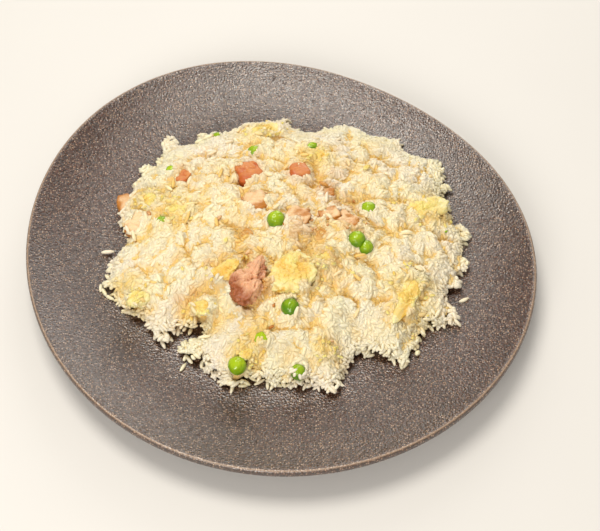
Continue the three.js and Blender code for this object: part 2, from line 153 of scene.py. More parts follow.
RIM_CLUMPS = (
    (-47, -44.5, 6), (-38, -45.5, 4.5), (32, -68.5, 2.6), (88.5, 39, 3), (-39, -47, 5),
    (-55, -55, 3.5), (-45, -59.5, 4), (-29, -71, 4.5), (-22, -77, 5), (-15, -77, 4), (-6, -73, 4),
    (-2, -76.5, 4), (5, -76, 4), (9, -79, 3), (-86, -22, 3), (-61, 74, 5.2), (-43, 78, 4),
    (-36, 80, 3.5), (-72.5, 55, 4), (-76, 43, 3.5), (-75, 5.5, 4.5), (-65, 60, 3.5), (34, -64.5, 3),
    (20, -78.5, 4), (26, -79, 4.5), (26, -83.5, 2.2), (31, -66, 4.5), (33, -61, 4.5),
    (60.5, -65, 3.5), (62, -59, 3.5), (65, -54.5, 4), (67.5, -49.5, 4), (83, -42.5, 3.5),
    (86.5, -41.5, 2.5), (84.5, -37, 3), (87.5, -21.5, 4.5), (93, -9.5, 4), (95, 9, 4), (93, 12, 4),
    (88, 38.5, 3.5),
)

# Where the rim hangs over the plate with nothing under it: place and radius.
OVERHANGS = (
    (44, -60, 14), (-46, -47, 10), (70, -55, 7), (84, -26, 7), (-12, -77, 5), (-78, -32, 8),
    (94, 2, 6),
)

# How much of a topping the rice hides, as a share, for one topping or a whole kind.
HIDDEN_SHARES = {
    "pea_7": 0.5, "pea_8": 0.3, "pea_10": 0.5, "pea_12": 0.4, "pea_13": 0.5,
    "ham": 0.26, "ham_3": 0.32,
    "pork": 0.42, "pork_1": 0.34, "pork_5": 0.28, "pork_7": 0.6, "pork_8": 0.5,
    "egg": 0.52, "egg_1": 0.22, "egg_2": 0.36, "egg_3": 0.4, "egg_4": 0.3, "egg_5": 0.42,
    "egg_6": 0.48, "egg_9": 0.22, "egg_10": 0.72, "egg_12": 0.6,
}

# Places where rice lies over all of a topping: place and radius.
RICE_OVER = (
    (-79.5, 14.5, 4.5), (-77.5, 13, 3), (-79, 34, 3), (-79.5, 27.5, 3), (-4, -36, 2.6),
    (12.5, -39, 3), (2, -20, 2.2), (-24, -18, 3.4), (-31.5, -44, 3.4), (-43, -44, 3.2),
    (68, 13.5, 2.5), (75, 13.5, 2.2), (87, 15.5, 2.0), (60.5, -27, 3.0), (70, -33, 2.4),
    (63.5, -47, 2.0), (6, -78, 2.6),
)

# How high the upper half of a topping stands, as a share of its packed height, for one topping or
# a whole kind.
LOWERED = {
    "ham": 0.7,
    "pork": 0.55, "pork_5": 0.85,
    "egg": 0.45, "egg_1": 0.6, "egg_3": 0.38, "egg_4": 0.36, "egg_9": 0.55,
}

# Rows, columns and rounds of evening out of a topping's surface.
GRIDS = {
    "pea": (36, 48, 6),
    "ham": (60, 84, 9),
    "pork": (60, 84, 7),
    "pork_5": (110, 160, 3),
    "egg": (90, 130, 3),
}

# How golden, brown or light a topping is as a whole, and on which side a piece of meat is darker,
# partly browned and partly painted shade: angle and share.
USUAL_TONE = 0.45
TONES = {
    "pea_1": 0.48, "pea_2": 0.4, "pea_3": 0.28, "pea_5": 0.08, "pea_6": 0.75, "pea_7": 0.3,
    "pea_8": 1.0, "pea_12": 0.2, "pea_13": 0.8,
    "ham_1": 0.5, "ham_2": 0.6, "ham_3": 0.1,
    "pork_2": 0.45, "pork_3": 0.4, "pork_4": 0.45, "pork_5": 0.34, "pork_6": 0.6, "pork_7": 0.25,
    "pork_8": 0.9,
    "egg_1": 0.42, "egg_2": 0.85, "egg_3": 0.4, "egg_4": 0.12, "egg_5": 0.0, "egg_6": 0.15,
    "egg_7": 0.3, "egg_8": 0.3, "egg_9": -0.3, "egg_10": 0.75,
}
BROWNED_AND_SHADED_SIDES = {
    "ham_1": (255, 0.9), "ham_2": (225, 0.9), "ham_3": (200, 0.5),
    "pork_1": (300, 1.0), "pork_2": (235, 0.9), "pork_3": (175, 0.9), "pork_4": (280, 1.0),
    "pork_5": (222, 1.0), "pork_6": (180, 1.0), "pork_7": (0, 0.9), "pork_8": (60, 0.9),
}

# Small loose things: grains by place and turn; scraps by kind, place, length, width and turn.
LOOSE_GRAINS = (
    (-67, -37.5, 150), (-45.5, -68.5, 60), (87.5, -45, -40), (-89.5, -22.5, 95), (-87.5, -25, 120),
    (-84.5, -28, 150), (92, -30, 20),
)
CRUMBS = {"meat": 30, "egg": 210, "pea": 0}  # how many crumbs of each kind lie round its pieces
SCRAPS = (
    ("meat", -3, -57, 3.4, 1.6, 30),
    ("meat", -30, 5, 3.6, 1.8, 60),
    ("meat", 25, -63, 3.0, 1.4, 10),
    ("meat", -15, -17, 5.0, 2.2, 50),
    ("meat", 38, 20, 2.6, 1.4, 120),
    ("meat", -2, -46, 2.8, 1.5, 80),
    ("meat", 18, -3, 2.6, 1.3, 20),
    ("egg", 45, 40, 5.0, 3.0, 30),
    ("egg", -47, -24, 3.0, 1.8, 110),
    ("egg", -26, -10, 4.0, 2.2, 70),
    ("egg", 36, -28, 3.4, 2.0, 160),
    ("egg", 60, -47, 4.0, 2.0, 60),
    ("egg", -58, 33, 4.4, 2.6, 40),
    ("egg", -44, 6, 4.0, 2.0, 10),
    ("pea", 84.8, 5.2, 2.4, 1.3, 40),
    ("pea", -60, 11, 2.6, 1.4, 100),
)

# The lights, which aim at the origin: name, place, size and tint. The floor, sky and camera.
LIGHTS = (
    ("key", (-0.17, 0.17, 1.0), 0.5, (1.0, 0.95, 0.87)),
    ("fill", (-0.3, -0.9, 0.6), 0.6, (1.0, 0.96, 0.92)),
    ("back", (0.2, 1.0, 0.42), 0.8, (1.0, 0.97, 0.93)),
)
SKY_TINT = (1.0, 0.95, 0.87, 1.0)
FLOOR_HALF = 2.0
CAMERA_PLACE = (0.0105, -0.36567, 0.48279)
CAMERA_TILT = 37.0  # from looking straight down
CAMERA_LENS = 70.0
CAMERA_SENSOR = 36.0


def paint(red, green, blue):
    """A colour given as it looks on a screen, 0 to 255, as the linear colour that shaders use."""
    share = np.array([red, green, blue]) / 255
    linear = np.where(share <= 0.04045, share / 12.92, ((share + 0.055) / 1.055) ** 2.4)
    return (*[float(part) for part in linear], 1.0)


# ----------------------------------------------------------------------------------- noise in numpy


def lattice_value(corner, seed):
    """A fixed random number from -1 to 1 for each point of a whole-number lattice: the three
    coordinates are multiplied by large odd numbers and their bits are mixed."""
    corner = corner.astype(np.int64)
    mixed = corner[..., 0] * 73856093 ^ corner[..., 1] * 19349663 ^ corner[..., 2] * 83492791
    mixed = (mixed + seed * 97531) & 0xFFFFFFFF
    mixed = ((mixed ^ (mixed >> 15)) * 73244475) & 0xFFFFFFFF
    mixed = ((mixed ^ (mixed >> 13)) * 40503551) & 0xFFFFFFFF
    return ((mixed ^ (mixed >> 16)) & 0xFFFF) / 32767.5 - 1


def swell(points, length, seed=0):
    """Smooth random swells from -1 to 1: the values at the eight lattice corners round a point,
    blended by how near it is to each, on a lattice whose cells are that length."""
    place = np.asarray(points, float) / length
    corner = np.floor(place)
    near = place - corner
    near = near * near * (3 - 2 * near)
    total = np.zeros(place.shape[:-1])
    for step in np.ndindex(2, 2, 2):
        weight = np.prod(np.where(np.array(step), near, 1 - near), axis=-1)
        total += weight * lattice_value(corner + np.array(step), seed)
    return total


def layered_swell(points, length, seed=0, layers=3):
    """Swells added up, each half as long and half as high as the one before."""
    parts = [swell(points, length / 2**k, seed + k) / 2**k for k in range(layers)]
    return sum(parts) / sum(0.5**k for k in range(layers))


def folds(points, length, seed=0):
    """Sharp creases between rounded backs: the size of the swell, turned so that 0 is a crease."""
    return np.sqrt(np.abs(swell(points, length, seed)))


def domes(x, y, spacing, seed=0):
    """Low domes round seed points that are jittered off a square lattice: one minus the square of
    the distance to the nearest seed, as a share of the spacing, so that there are creases where
    two domes meet."""
    column, row = np.floor(x / spacing), np.floor(y / spacing)
    nearest = np.full(x.shape, np.inf)
    for i, j in np.ndindex(3, 3):
        cell = np.stack([column + i - 1, row + j - 1, np.zeros(x.shape)], -1)
        seed_x = (cell[..., 0] + 0.5 + 0.38 * lattice_value(cell, seed)) * spacing
        seed_y = (cell[..., 1] + 0.5 + 0.38 * lattice_value(cell, seed + 1)) * spacing
        nearest = np.minimum(nearest, (x - seed_x) ** 2 + (y - seed_y) ** 2)
    return 1 - nearest / (0.7 * spacing) ** 2


# ------------------------------------------------------------------------------------ mesh helpers


def wrapped_faces(rows, columns):
    """Quads over a grid whose columns wrap round, and a fan that closes each end row on a pole. The
    poles are the two points after the grid's own: first the one before row 0."""
    index = np.arange(rows * columns).reshape(rows, columns)
    right = np.roll(index, -1, axis=1)
    quads = np.stack([index[:-1], right[:-1], right[1:], index[1:]], -1).reshape(-1, 4)
    pole = np.full(columns, rows * columns)
    first = np.stack([right[0], index[0], pole], -1)
    last = np.stack([index[-1], right[-1], pole + 1], -1)
    return quads, np.concatenate([first, last])


def with_poles(grid, first, last):
    """The grid's points as one list, with the two pole points after them."""
    return np.concatenate([grid.reshape(-1, 3), [first, last]])


def repeated_faces(faces, points_each, count):
    """The faces of one small shape, numbered for each of its copies."""
    start = np.arange(count)[:, None, None] * points_each
    return [(part[None] + start).reshape(-1, part.shape[1]) for part in faces]


def add_piece(name, points, faces, material, nodes, values=None):
    """Makes a closed mesh from points in millimetres and arrays of face corners, with the named
    numbers for each point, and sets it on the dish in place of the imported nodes."""
    mesh = bpy.data.meshes.new(name)
    mesh.vertices.add(len(points))
    mesh.vertices.foreach_set("co", (np.asarray(points) * MM).astype(np.float32).ravel())
    corners = np.concatenate([part.ravel() for part in faces]).astype(np.int32)
    sizes = np.concatenate([np.full(len(part), part.shape[1]) for part in faces])
    mesh.loops.add(len(corners))
    mesh.loops.foreach_set("vertex_index", corners)
    mesh.polygons.add(len(sizes))
    mesh.polygons.foreach_set("loop_start", (np.cumsum(sizes) - sizes).astype(np.int32))
    for label, numbers in (values or {}).items():
        layer = mesh.attributes.new(label, "FLOAT", "POINT")
        layer.data.foreach_set("value", np.ascontiguousarray(numbers, np.float32).ravel())
    mesh.update(calc_edges=True)
    mesh.validate()
    mesh.materials.append(material)
    piece = bpy.data.objects.new(name, mesh)
    bpy.context.scene.collection.objects.link(piece)
    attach(piece, "root")
    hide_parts(*nodes)


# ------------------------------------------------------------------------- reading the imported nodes


def node_box(name):
    """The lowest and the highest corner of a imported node's box in millimetres."""
    low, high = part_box(name)
    return np.array(low) / MM, np.array(high) / MM


def node_points(name):
    """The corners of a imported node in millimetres."""
    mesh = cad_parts[name].data
    found = np.empty(len(mesh.vertices) * 3, np.float32)
    mesh.vertices.foreach_get("co", found)
    return found.reshape(-1, 3).astype(float) / MM


def node_tree(name):
    """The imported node's triangles, ready for rays."""
    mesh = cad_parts[name].data
    mesh.calc_loop_triangles()
    corners = np.empty(len(mesh.loop_triangles) * 3, np.int32)
    mesh.loop_triangles.foreach_get("vertices", corners)
    return BVHTree.FromPolygons(node_points(name).tolist(), corners.reshape(-1, 3).tolist())


def height_under(tree, x, y):
    """Height of the first surface that a ray straight down meets, or not a number."""
    hit = tree.ray_cast((x, y, 90.0), (0.0, 0.0, -1.0))[0]
    return hit.z if hit else math.nan


def node_names(kind):
    """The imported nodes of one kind, such as pea_1, pea_2 and so on, in order."""
    found = [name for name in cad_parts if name.rpartition("_")[0] == kind]
    return sorted(found, key=lambda name: int(name.rpartition("_")[2]))


TOPPINGS = [name for kind in ("pea", "ham", "pork", "egg") for name in node_names(kind)]


# ------------------------------------------------------------------------------------- height maps


class Bed:
    """A height map over the plate: square cells between two corners, in millimetres."""

    def __init__(self, low, high, cell):
        self.low = np.array(low, float)
        self.cell = cell
        self.columns, self.rows = (int(math.ceil((b - a) / cell)) + 1 for a, b in zip(low, high))
        self.x = self.low[0] + cell * np.arange(self.columns)
        self.y = self.low[1] + cell * np.arange(self.rows)

    def read(self, values, x, y):
        """The value between the four nearest cells, each weighted by how near it is."""
        across = np.clip((x - self.low[0]) / self.cell, 0, self.columns - 1.001)
        along = np.clip((y - self.low[1]) / self.cell, 0, self.rows - 1.001)
        i, j = along.astype(int), across.astype(int)
        u, v = across - j, along - i
        near = values[i, j] * (1 - u) + values[i, j + 1] * u
        far = values[i + 1, j] * (1 - u) + values[i + 1, j + 1] * u
        return near * (1 - v) + far * v


def neighbours(values):
    """The four neighbours of every cell, one array each; the border cells stand for their own."""
    padded = np.pad(values, 1, mode="edge")
    return padded[:-2, 1:-1], padded[2:, 1:-1], padded[1:-1, :-2], padded[1:-1, 2:]


def grown(mask, times):
    """The mask with its neighbouring cells added, so many times."""
    for _ in range(times):
        mask = mask | np.any(neighbours(mask), axis=0)
    return mask


def softened(values, times, where=None):
    """Every cell, or only those asked for, set to the mean of itself and its neighbours again and
    again."""
    for _ in range(times):
        mean = (values + sum(neighbours(values))) / 5
        values = mean if where is None else np.where(where, mean, values)
    return values


def next_ring(values, known):
    """The unknown cells that touch a known one, and for every cell the mean of its known
    neighbours."""
    beside = neighbours(known.astype(float))
    weight = sum(beside)
    total = sum(part * share for part, share in zip(neighbours(values), beside))
    return ~known & (weight > 0), total / np.maximum(weight, 1)


def filled_in(values, known, wanted):
    """The wanted cells take the mean of their known neighbours, ring by ring from the edge of each
    hollow inwards, and are then evened out."""
    for _ in range(30):
        ring, mean = next_ring(values, known)
        ring &= wanted
        values = np.where(ring, mean, values)
        known = known | ring
    return softened(values, 60, wanted)


def in_circles(x, y, circles):
    """Which places lie in one of the circles, each given as its middle and its radius."""
    found = [np.hypot(x - at_x, y - at_y) < radius for at_x, at_y, radius in circles]
    return np.any(found, axis=0)


def depth_inside(mask, most):
    """About how many cells each cell lies inside the mask: the mask is shrunk step by step, every
    other time across the diagonals as well."""
    depth = mask.astype(float)
    for step in range(most):
        mask = mask & np.all(neighbours(mask), axis=0)
        if step % 2:
            padded = np.pad(mask, 1, mode="edge")
            mask = mask & padded[:-2, :-2] & padded[:-2, 2:] & padded[2:, :-2] & padded[2:, 2:]
        depth += mask
    return depth


# ------------------------------------------------------------------------------------------- plate


def outline_reach(angle, radius):
    """The plate's outline: the mean radius plus a few slow cosine waves round it."""
    reach = np.full_like(angle, radius)
    for count, height, peak in PLATE_WAVES:
        reach = reach + height * np.cos(count * (angle - math.radians(peak)))
    return reach


def outline_middle(radius):
    """The middle of the outline's box: the plate is shifted by it to sit on the origin."""
    angle = np.arange(48) * 2 * math.pi / 48
    x, y = outline_reach(angle, radius) * np.array([np.cos(angle), np.sin(angle)])
    return np.array([x.min() + x.max(), y.min() + y.max()]) / 2


def plate_top(x, y):
    """Height of the plate's upper surface: flat to a share of the outline, then rising."""
    plan = bpy.context.scene.rice_plate
    radius, rim, floor = plan.plate_radius / MM, plan.rim_height / MM, plan.floor_height / MM
    middle = outline_middle(radius)
    dx, dy = x + middle[0], y + middle[1]
    share = np.hypot(dx, dy) / outline_reach(np.arctan2(dy, dx), radius)
    climb = np.clip((share - FLAT_SHARE) / (1 - RIM_ROUNDING / radius - FLAT_SHARE), 0, 1)
    return floor + (rim - floor) * climb**RISE_POWER


def plate_section(radius, rim, floor):
    """Half of the plate's section, from the middle of the underside round the foot and the rim to
    the middle of the top, as share of the outline and height. The foot is a rounded step, the wall
    is the upper curve moved down, and the rim is a squared half ellipse."""
    end = 1 - RIM_ROUNDING / radius
    climb = np.linspace(0, 1, 46)
    share = FLAT_SHARE + (end - FLAT_SHARE) * climb
    height = floor + (rim - floor) * climb**RISE_POWER
    under = np.linspace(0.01, FOOT_INNER_SHARE - 0.012, 8)
    turn = np.linspace(0, math.pi / 2, 5)
    across, down = FOOT_ROUND_SHARE * np.cos(turn), FOOT_ROUND * (1 - np.sin(turn))
    foot_in = np.array([FOOT_INNER_SHARE - across, down])
    across, up = FOOT_ROUND_SHARE * np.sin(turn), FOOT_ROUND * (1 - np.cos(turn))
    foot_out = np.array([FOOT_OUTER_SHARE + across, up])
    low = climb >= 0.06
    wall_share = np.concatenate([[FOOT_OUTER_SHARE + 0.011, FOOT_OUTER_SHARE + 0.02], share[low]])
    wall_height = np.concatenate([[FOOT_TOP, floor - WALL], height[low] - WALL])
    turn = np.linspace(-math.pi / 2, math.pi / 2, 15)[1:-1]
    rim_share = end + (1 - end) * np.abs(np.cos(turn)) ** 0.7
    rim_height = rim - WALL / 2 + WALL / 2 * np.sign(np.sin(turn)) * np.abs(np.sin(turn)) ** 0.8
    inner = np.linspace(FLAT_SHARE, 0.01, 26)[1:]
    return np.concatenate(
        [
            np.stack([under, np.full(len(under), FOOT_RECESS)], -1),
            foot_in.T,
            foot_out.T,
            np.stack([wall_share, wall_height], -1),
            np.stack([rim_share, rim_height], -1),
            np.stack([share[::-1], height[::-1]], -1),
            np.stack([inner, np.full(len(inner), floor)], -1),
        ]
    )


def build_plate():
    """The plate: its section is carried round the wavy outline, and the clay above the foot is
    raised and lowered by slow swells, as a hand-pressed slab is."""
    plan = bpy.context.scene.rice_plate
    radius, rim, floor = plan.plate_radius / MM, plan.rim_height / MM, plan.floor_height / MM
    section = plate_section(radius, rim, floor)
    angle = np.arange(PLATE_SPOKES) * 2 * math.pi / PLATE_SPOKES
    reach = section[:, :1] * outline_reach(angle, radius)
    middle = outline_middle(radius)
    grid = np.stack(
        [
            reach * np.cos(angle) - middle[0],
            reach * np.sin(angle) - middle[1],
            np.broadcast_to(section[:, 1:], reach.shape),
        ],
        -1,
    )
    above_foot = np.clip((grid[..., 2] - 2.5) / 4, 0, 1)
    flat = grid * np.array([1, 1, 0])
    grid[..., 2] += above_foot * (0.35 * swell(flat, 58, 3) + 0.12 * swell(flat, 21, 4) - 0.15)
    # A thin pale line along the rim's edge: a painted highlight, carried as a number on each point.
    rim_share = np.broadcast_to(section[:, :1], reach.shape)
    rim_line = np.clip(1 - np.abs(rim_share - RIM_HIGHLIGHT_SHARE) / RIM_HIGHLIGHT_WIDTH, 0, 1)
    rim_line = rim_line * (grid[..., 2] > rim - 3)
    points = with_poles(grid, (*-middle, FOOT_RECESS), (*-middle, grid[-1, :, 2].mean()))
    add_piece(
        "plate_glazed",
        points,
        wrapped_faces(*grid.shape[:2]),
        plate_finish(),
        ["plate"],
        {"rim_line": np.append(rim_line.ravel(), [0, 0])},
    )


# --------------------------------------------------------------------------------------- rice heap


def own(table, name, default=0.0):
    """What a table says of a topping: its own entry, or else its kind's."""
    return table.get(name, table.get(name.rpartition("_")[0], default))


def read_heap():
    """The heap as maps on a coarse bed. "target" is its height by rays from above, with the sockets
    of the toppings filled in level with the rice round them. "tops" is the top of the finished
    toppings, and "brims" the same with two rings of falling cells round them. "hidden" says how
    much of a topping rice lies over, "inside" which cells are within the outline, "depth" how far
    in, "outward" the direction to the nearest edge, and "collar" is 1 at a topping's side."""
    low, high = node_box("rice_heap")
    bed = Bed(low[:2] - MAP_MARGIN, high[:2] + MAP_MARGIN, RAY_CELL)
    tree = node_tree("rice_heap")
    rice = np.array([[height_under(tree, x, y) for x in bed.x] for y in bed.y])
    tops = np.full(rice.shape, -math.inf)
    hidden = np.zeros(rice.shape)
    socket = np.zeros(rice.shape, bool)
    for name in TOPPINGS:
        packed, finished = node_tree(name), lump(name)["tree"]
        low, high = node_box(name)
        first = np.floor((low[:2] - bed.low) / bed.cell).astype(int)
        last = np.ceil((high[:2] - bed.low) / bed.cell).astype(int)
        for i in range(max(first[1], 0), min(last[1] + 1, bed.rows)):
            for j in range(max(first[0], 0), min(last[0] + 1, bed.columns)):
                socket[i, j] |= not math.isnan(height_under(packed, bed.x[j], bed.y[i]))
                found = height_under(finished, bed.x[j], bed.y[i])
                if not math.isnan(found):
                    tops[i, j] = max(tops[i, j], found)
                    hidden[i, j] = own(HIDDEN_SHARES, name)
    covered = grown(socket, 1)
    inside = np.isfinite(rice) | (covered & grown(np.isfinite(rice), 2))
    x, y = np.meshgrid(bed.x, bed.y)
    inside = (inside | in_circles(x, y, RIM_CLUMPS)) & ~in_circles(x, y, RIM_GAPS)
    hidden = np.where(in_circles(x, y, RICE_OVER), BURIED, hidden)
    known = np.isfinite(tops)
    brims = np.where(known, tops, 0)
    for _ in range(2):
        ring, mean = next_ring(brims, known)
        brims = np.where(ring, mean - BRIM_FALL, brims)
        ring, mean = next_ring(hidden, known)
        hidden = np.where(ring & (hidden < BURIED), mean, hidden)
        known |= ring
    under = plate_top(x, y)
    filled = filled_in(np.where(np.isfinite(rice), rice, 0), np.isfinite(rice) & ~covered, covered)
    filled = np.maximum(filled, under)
    shade = softened(np.isfinite(tops).astype(float), 6)
    depth = softened(depth_inside(inside, MOST_DEPTH), 3)
    slope = np.gradient(softened(depth, 3))
    outward = np.arctan2(-slope[0], -slope[1])
    return {
        "bed": bed,
        "target": np.where(inside, filled, under),
        "inside": inside,
        "tops": tops,
        "brims": np.where(known, brims, NOTHING),
        "depth": depth,
        "outward": outward,
        "collar": 4 * shade * (1 - shade),
        "hidden": hidden,
    }


def build_core(heap):
    """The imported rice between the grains: rings at shares of an outline that is drawn in from the
    heap's own, raised to just under the backs of the poured grains, so that they stick out of it
    as out of a clump. The side is rounded and undercut, and the underside lies on the plate."""
    plan = bpy.context.scene.rice_plate
    bed = heap["bed"]
    angle = np.arange(CORE_SPOKES) * 2 * math.pi / CORE_SPOKES
    steps = np.arange(20, 115, 0.25)
    x = HEAP_MIDDLE[0] + steps[:, None] * np.cos(angle)
    y = HEAP_MIDDLE[1] + steps[:, None] * np.sin(angle)
    deep = bed.read(heap["depth"], x, y) >= plan.core_inset / MM
    reach = steps[np.where(deep.all(0), len(steps) - 1, np.argmin(deep, axis=0))]
    reach = np.min([np.roll(reach, k) for k in (-1, 0, 1)], axis=0)
    reach = np.mean([np.roll(reach, k) for k in (-2, -1, 0, 1, 2)], axis=0)
    side = np.linspace(0, 1, CORE_SIDE_RINGS)[:, None]
    share = np.concatenate(
        [
            np.linspace(0.03, 0.95, CORE_UNDER_RINGS)[:, None],
            0.975 + 0.025 * np.sin(side * math.pi),
            np.linspace(0.974, 0.01, CORE_TOP_RINGS)[:, None],
        ]
    )
    below, above = np.zeros((CORE_UNDER_RINGS, 1)), np.ones((CORE_TOP_RINGS, 1))
    climb = np.concatenate([below, side**1.3, above])
    x = HEAP_MIDDLE[0] + share * reach * np.cos(angle)
    y = HEAP_MIDDLE[1] + share * reach * np.sin(angle)
    base = plate_top(x, y) + CORE_LIFT
    top = heap["fine_bed"].read(heap["skin"], x, y) - plan.core_depth / MM
    wanted = heap["fine_bed"].read(heap["wanted"], x, y) - 1.0
    top = np.maximum(np.minimum(top, wanted + 0.8), base + 0.5)
    z = base + (top - base) * climb
    grid = np.stack([x, y, z], -1)
    points = with_poles(grid, (*HEAP_MIDDLE, z[0].mean()), (*HEAP_MIDDLE, z[-1].mean()))
    values = clump_values(grid[..., 0].ravel(), grid[..., 1].ravel(), heap)
    values = {label: np.append(numbers, numbers[-2:]) for label, numbers in values.items()}
    add_piece(
        "rice_core",
        points,
        wrapped_faces(*grid.shape[:2]),
        core_finish(),
        ["rice_heap"],
        values,
    )


def clumps(x, y):
    """The clumps on the heap's top, as a share of their full height: cut-off domes of two sizes
    that take turns, with small ones on them, all on a bent grid."""
    flat = np.stack([x, y, 0 * x], -1)
    x, y = x + 3.0 * swell(flat, 9, 13), y + 3.0 * swell(flat, 9, 14)
    large, middling, small = (
        np.minimum(domes(x, y, spacing, seed), cut)
        for spacing, cut, seed in (LARGE_CLUMPS, MIDDLING_CLUMPS, SMALL_CLUMPS)
    )
    share = np.clip(0.55 + 0.9 * swell(flat, 21, 19), 0, 1)
    both = share * large + (1 - share) * middling
    return both + (SMALL_CLUMP_HEIGHT * small - CLUMP_DROP)


def wanted_surface(heap):
    """What the grains are poured on and up to, as maps on a fine bed. "target" is the surface that
    they should reach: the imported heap's with clumps on it, drawn up against the toppings and over
    some of them, with a rounded side. "height" is what is there before the first grain: the plate,
    the toppings and the core under the grains. "base" is the plate, "depth" how far in a cell is,
    and "overhang" where the rim has nothing under it."""
    plan = bpy.context.scene.rice_plate
    coarse = heap["bed"]
    bed = Bed(coarse.low, (coarse.x[-1], coarse.y[-1]), BED_CELL)
    x, y = np.meshgrid(bed.x, bed.y)
    flat = np.stack([x, y, 0 * x], -1)
    inside = coarse.read(heap["inside"].astype(float), x, y) > 0.5
    depth = coarse.read(heap["depth"], x, y)
    base = plate_top(x, y)
    target = coarse.read(heap["target"], x, y)
    target += plan.relief / MM * np.clip(depth / 8, 0.3, 1) * clumps(x, y)
    beside = coarse.read(heap["collar"], x, y)
    target += plan.collar / MM * (beside * np.clip(0.55 + 0.9 * swell(flat, 5, 16), 0, 1))
    over = coarse.read(heap["hidden"], x, y) * (0.4 + beside)
    over = np.clip(4 * (over + 0.5 * swell(flat, 5, 20) - 0.42), 0, 1) * (over > 0)
    edge = base + plan.edge_height / MM
    side = base + plan.edge_height / MM * np.clip(depth / 1.6, 0, 1) ** 0.5
    target = np.where(inside, np.maximum(target, side), target)
    target = np.minimum(target, edge + 1.05 * depth + 2.2 * beside * np.clip(depth / 3, 0, 1))
    brims = coarse.read(heap["brims"], x, y)
    target = np.where((brims > 0) & (over > 0), np.maximum(target, brims + 1.3 * over), target)
    deep = np.clip((depth - plan.core_inset / MM) / 1.5, 0, 1)
    height = np.maximum(base, base + deep * (target - 3 - base))
    tops = coarse.read(np.where(np.isfinite(heap["tops"]), heap["tops"], NOTHING), x, y)
    height = np.maximum(height, tops - TOP_SINK)
    return {
        "bed": bed,
        "flat": flat,
        "inside": inside,
        "depth": depth,
        "base": base,
        "target": target,
        "height": height,
        "overhang": (swell(flat, 13, 21) > 0.25) | in_circles(x, y, OVERHANGS),
    }


def pour_grains(heap):
    """Pours grains one by one on a fine height map until the heap is as high as it should be. A
    grain goes only where the heap is still too low. It turns with its neighbours and tips with the
    slope, both with a good deal of chance, and its back or tip comes up to about the wanted
    surface, so that the rest of it is pressed in among the others. Then it raises the map by its
    back, which is half an ellipse across and nearly a tube along. The heap gets the fine maps:
    "height" as poured, "skin" the same evened out, "wanted" and "crease", which is 1 between
    clumps. Returns rows of x, y, z, turn, tip, half length and half width."""
    plan = bpy.context.scene.rice_plate
    random = np.random.default_rng(SEED)
    coarse = heap["bed"]
    maps = wanted_surface(heap)
    bed, depth, base, target = maps["bed"], maps["depth"], maps["base"], maps["target"]
    height, overhang = maps["height"], maps["overhang"]
    slope_y, slope_x = np.gradient(softened(target, 12), BED_CELL)
    length, width = plan.grain_length / MM, plan.grain_width / MM
    span = int(math.ceil(length * 0.62 / BED_CELL))
    local = np.arange(-span, span + 1) * BED_CELL
    dx, dy = np.meshgrid(local, local)
    drift = math.pi * 1.6 * swell(maps["flat"], 16, 15)
    grains, backs = [], []
    spots = np.argwhere(maps["inside"] & (depth > plan.rim_inset / MM))
    tries = plan.tries
    for _ in range(plan.rounds):
        picks = spots[random.integers(0, len(spots), tries)]
        turns = random.uniform(-1, 1, tries)
        halves = 0.5 * length * random.normal(1, LENGTH_SPREAD, tries)
        broken = random.random(tries) < BROKEN_SHARE
        halves = np.where(broken, halves * random.uniform(*BROKEN_LENGTHS, tries), halves)
        widths = 0.5 * width * random.normal(1, WIDTH_SPREAD, tries)
        tilts = random.normal(0, TILT_SPREAD, tries)
        swings = random.normal(0, RIM_TURN_SPREAD, tries)
        lifts = random.normal(0.0, LIFT_SPREAD, tries)
        lying = random.random(tries) < LYING_SHARE
        for (i, j), turn, half, half_width, tilt, swing, lift, lies in zip(
            picks, turns, halves, widths, tilts, swings, lifts, lying
        ):
            if target[i, j] - height[i, j] < plan.gap / MM:
                continue
            if not (span < i < bed.rows - span - 1 and span < j < bed.columns - span - 1):
                continue
            turn = drift[i, j] + TURN_REACH * turn
            if depth[i, j] < RIM_DEPTH:
                row = int(round((bed.y[i] - coarse.low[1]) / coarse.cell))
                column = int(round((bed.x[j] - coarse.low[0]) / coarse.cell))
                turn = heap["outward"][row, column] + swing
                half *= RIM_LENGTH
            c, s = math.cos(turn), math.sin(turn)
            slope = min(max(slope_x[i, j] * c + slope_y[i, j] * s, -0.7), 0.7) + tilt
            steepest = 0.3 if depth[i, j] < 4 else 1.2
            slope = min(max(slope, -steepest), steepest)
            tip = math.atan(slope)
            along = (dx * c + dy * s) / math.cos(tip)
            across = -dx * s + dy * c
            back = 1 - np.abs(along / half) ** 2.6 - (across / half_width) ** 2
            touched = back > 0
            back = half_width * np.sqrt(np.where(touched, back, 0))
            lean = (dx * c + dy * s) * slope
            window = (slice(i - span, i + span + 1), slice(j - span, j + span + 1))
            under = height[window]
            above = lean + back
            close = touched & (np.abs(along) < 0.7 * half)
            middle = np.min(np.where(close, target[window] - above, 99)) + lift
            if depth[i, j] < 6 and lies:
                if depth[i, j] < (5.5 if overhang[i, j] else 2.5):
                    continue
                rest = np.max(np.where(touched, under - above, -99)) + half_width
                middle = min(middle, rest)
            middle = max(middle, base[i, j] + 0.85 * half_width)
            if middle + half_width > target[i, j] + MOST_OVERSHOOT:
                continue
            height[window] = np.where(touched, np.maximum(under, middle + above), under)
            grains.append((bed.x[j], bed.y[i], middle, turn, tip, half, half_width))
            backs.append((window, np.where(touched, middle + above, -99)))
    # The crease map is 1 low between clumps; the rice is painted darker and warmer there as painted
    # shade.
    broad = np.clip((softened(target, 260) - target) / 1.3, 0, 1)
    narrow = np.clip((softened(target, 40) - target - 0.1) / 0.5, 0, 1)
    heap["crease"] = np.clip(0.55 * broad + 0.8 * narrow, 0, 1)
    heap["fine_bed"], heap["height"], heap["wanted"] = bed, height, target
    heap["skin"] = softened(height, 4)
    seen = [np.max(back - height[window]) > -PRUNED_BELOW for window, back in backs]
    return np.array(grains)[seen]


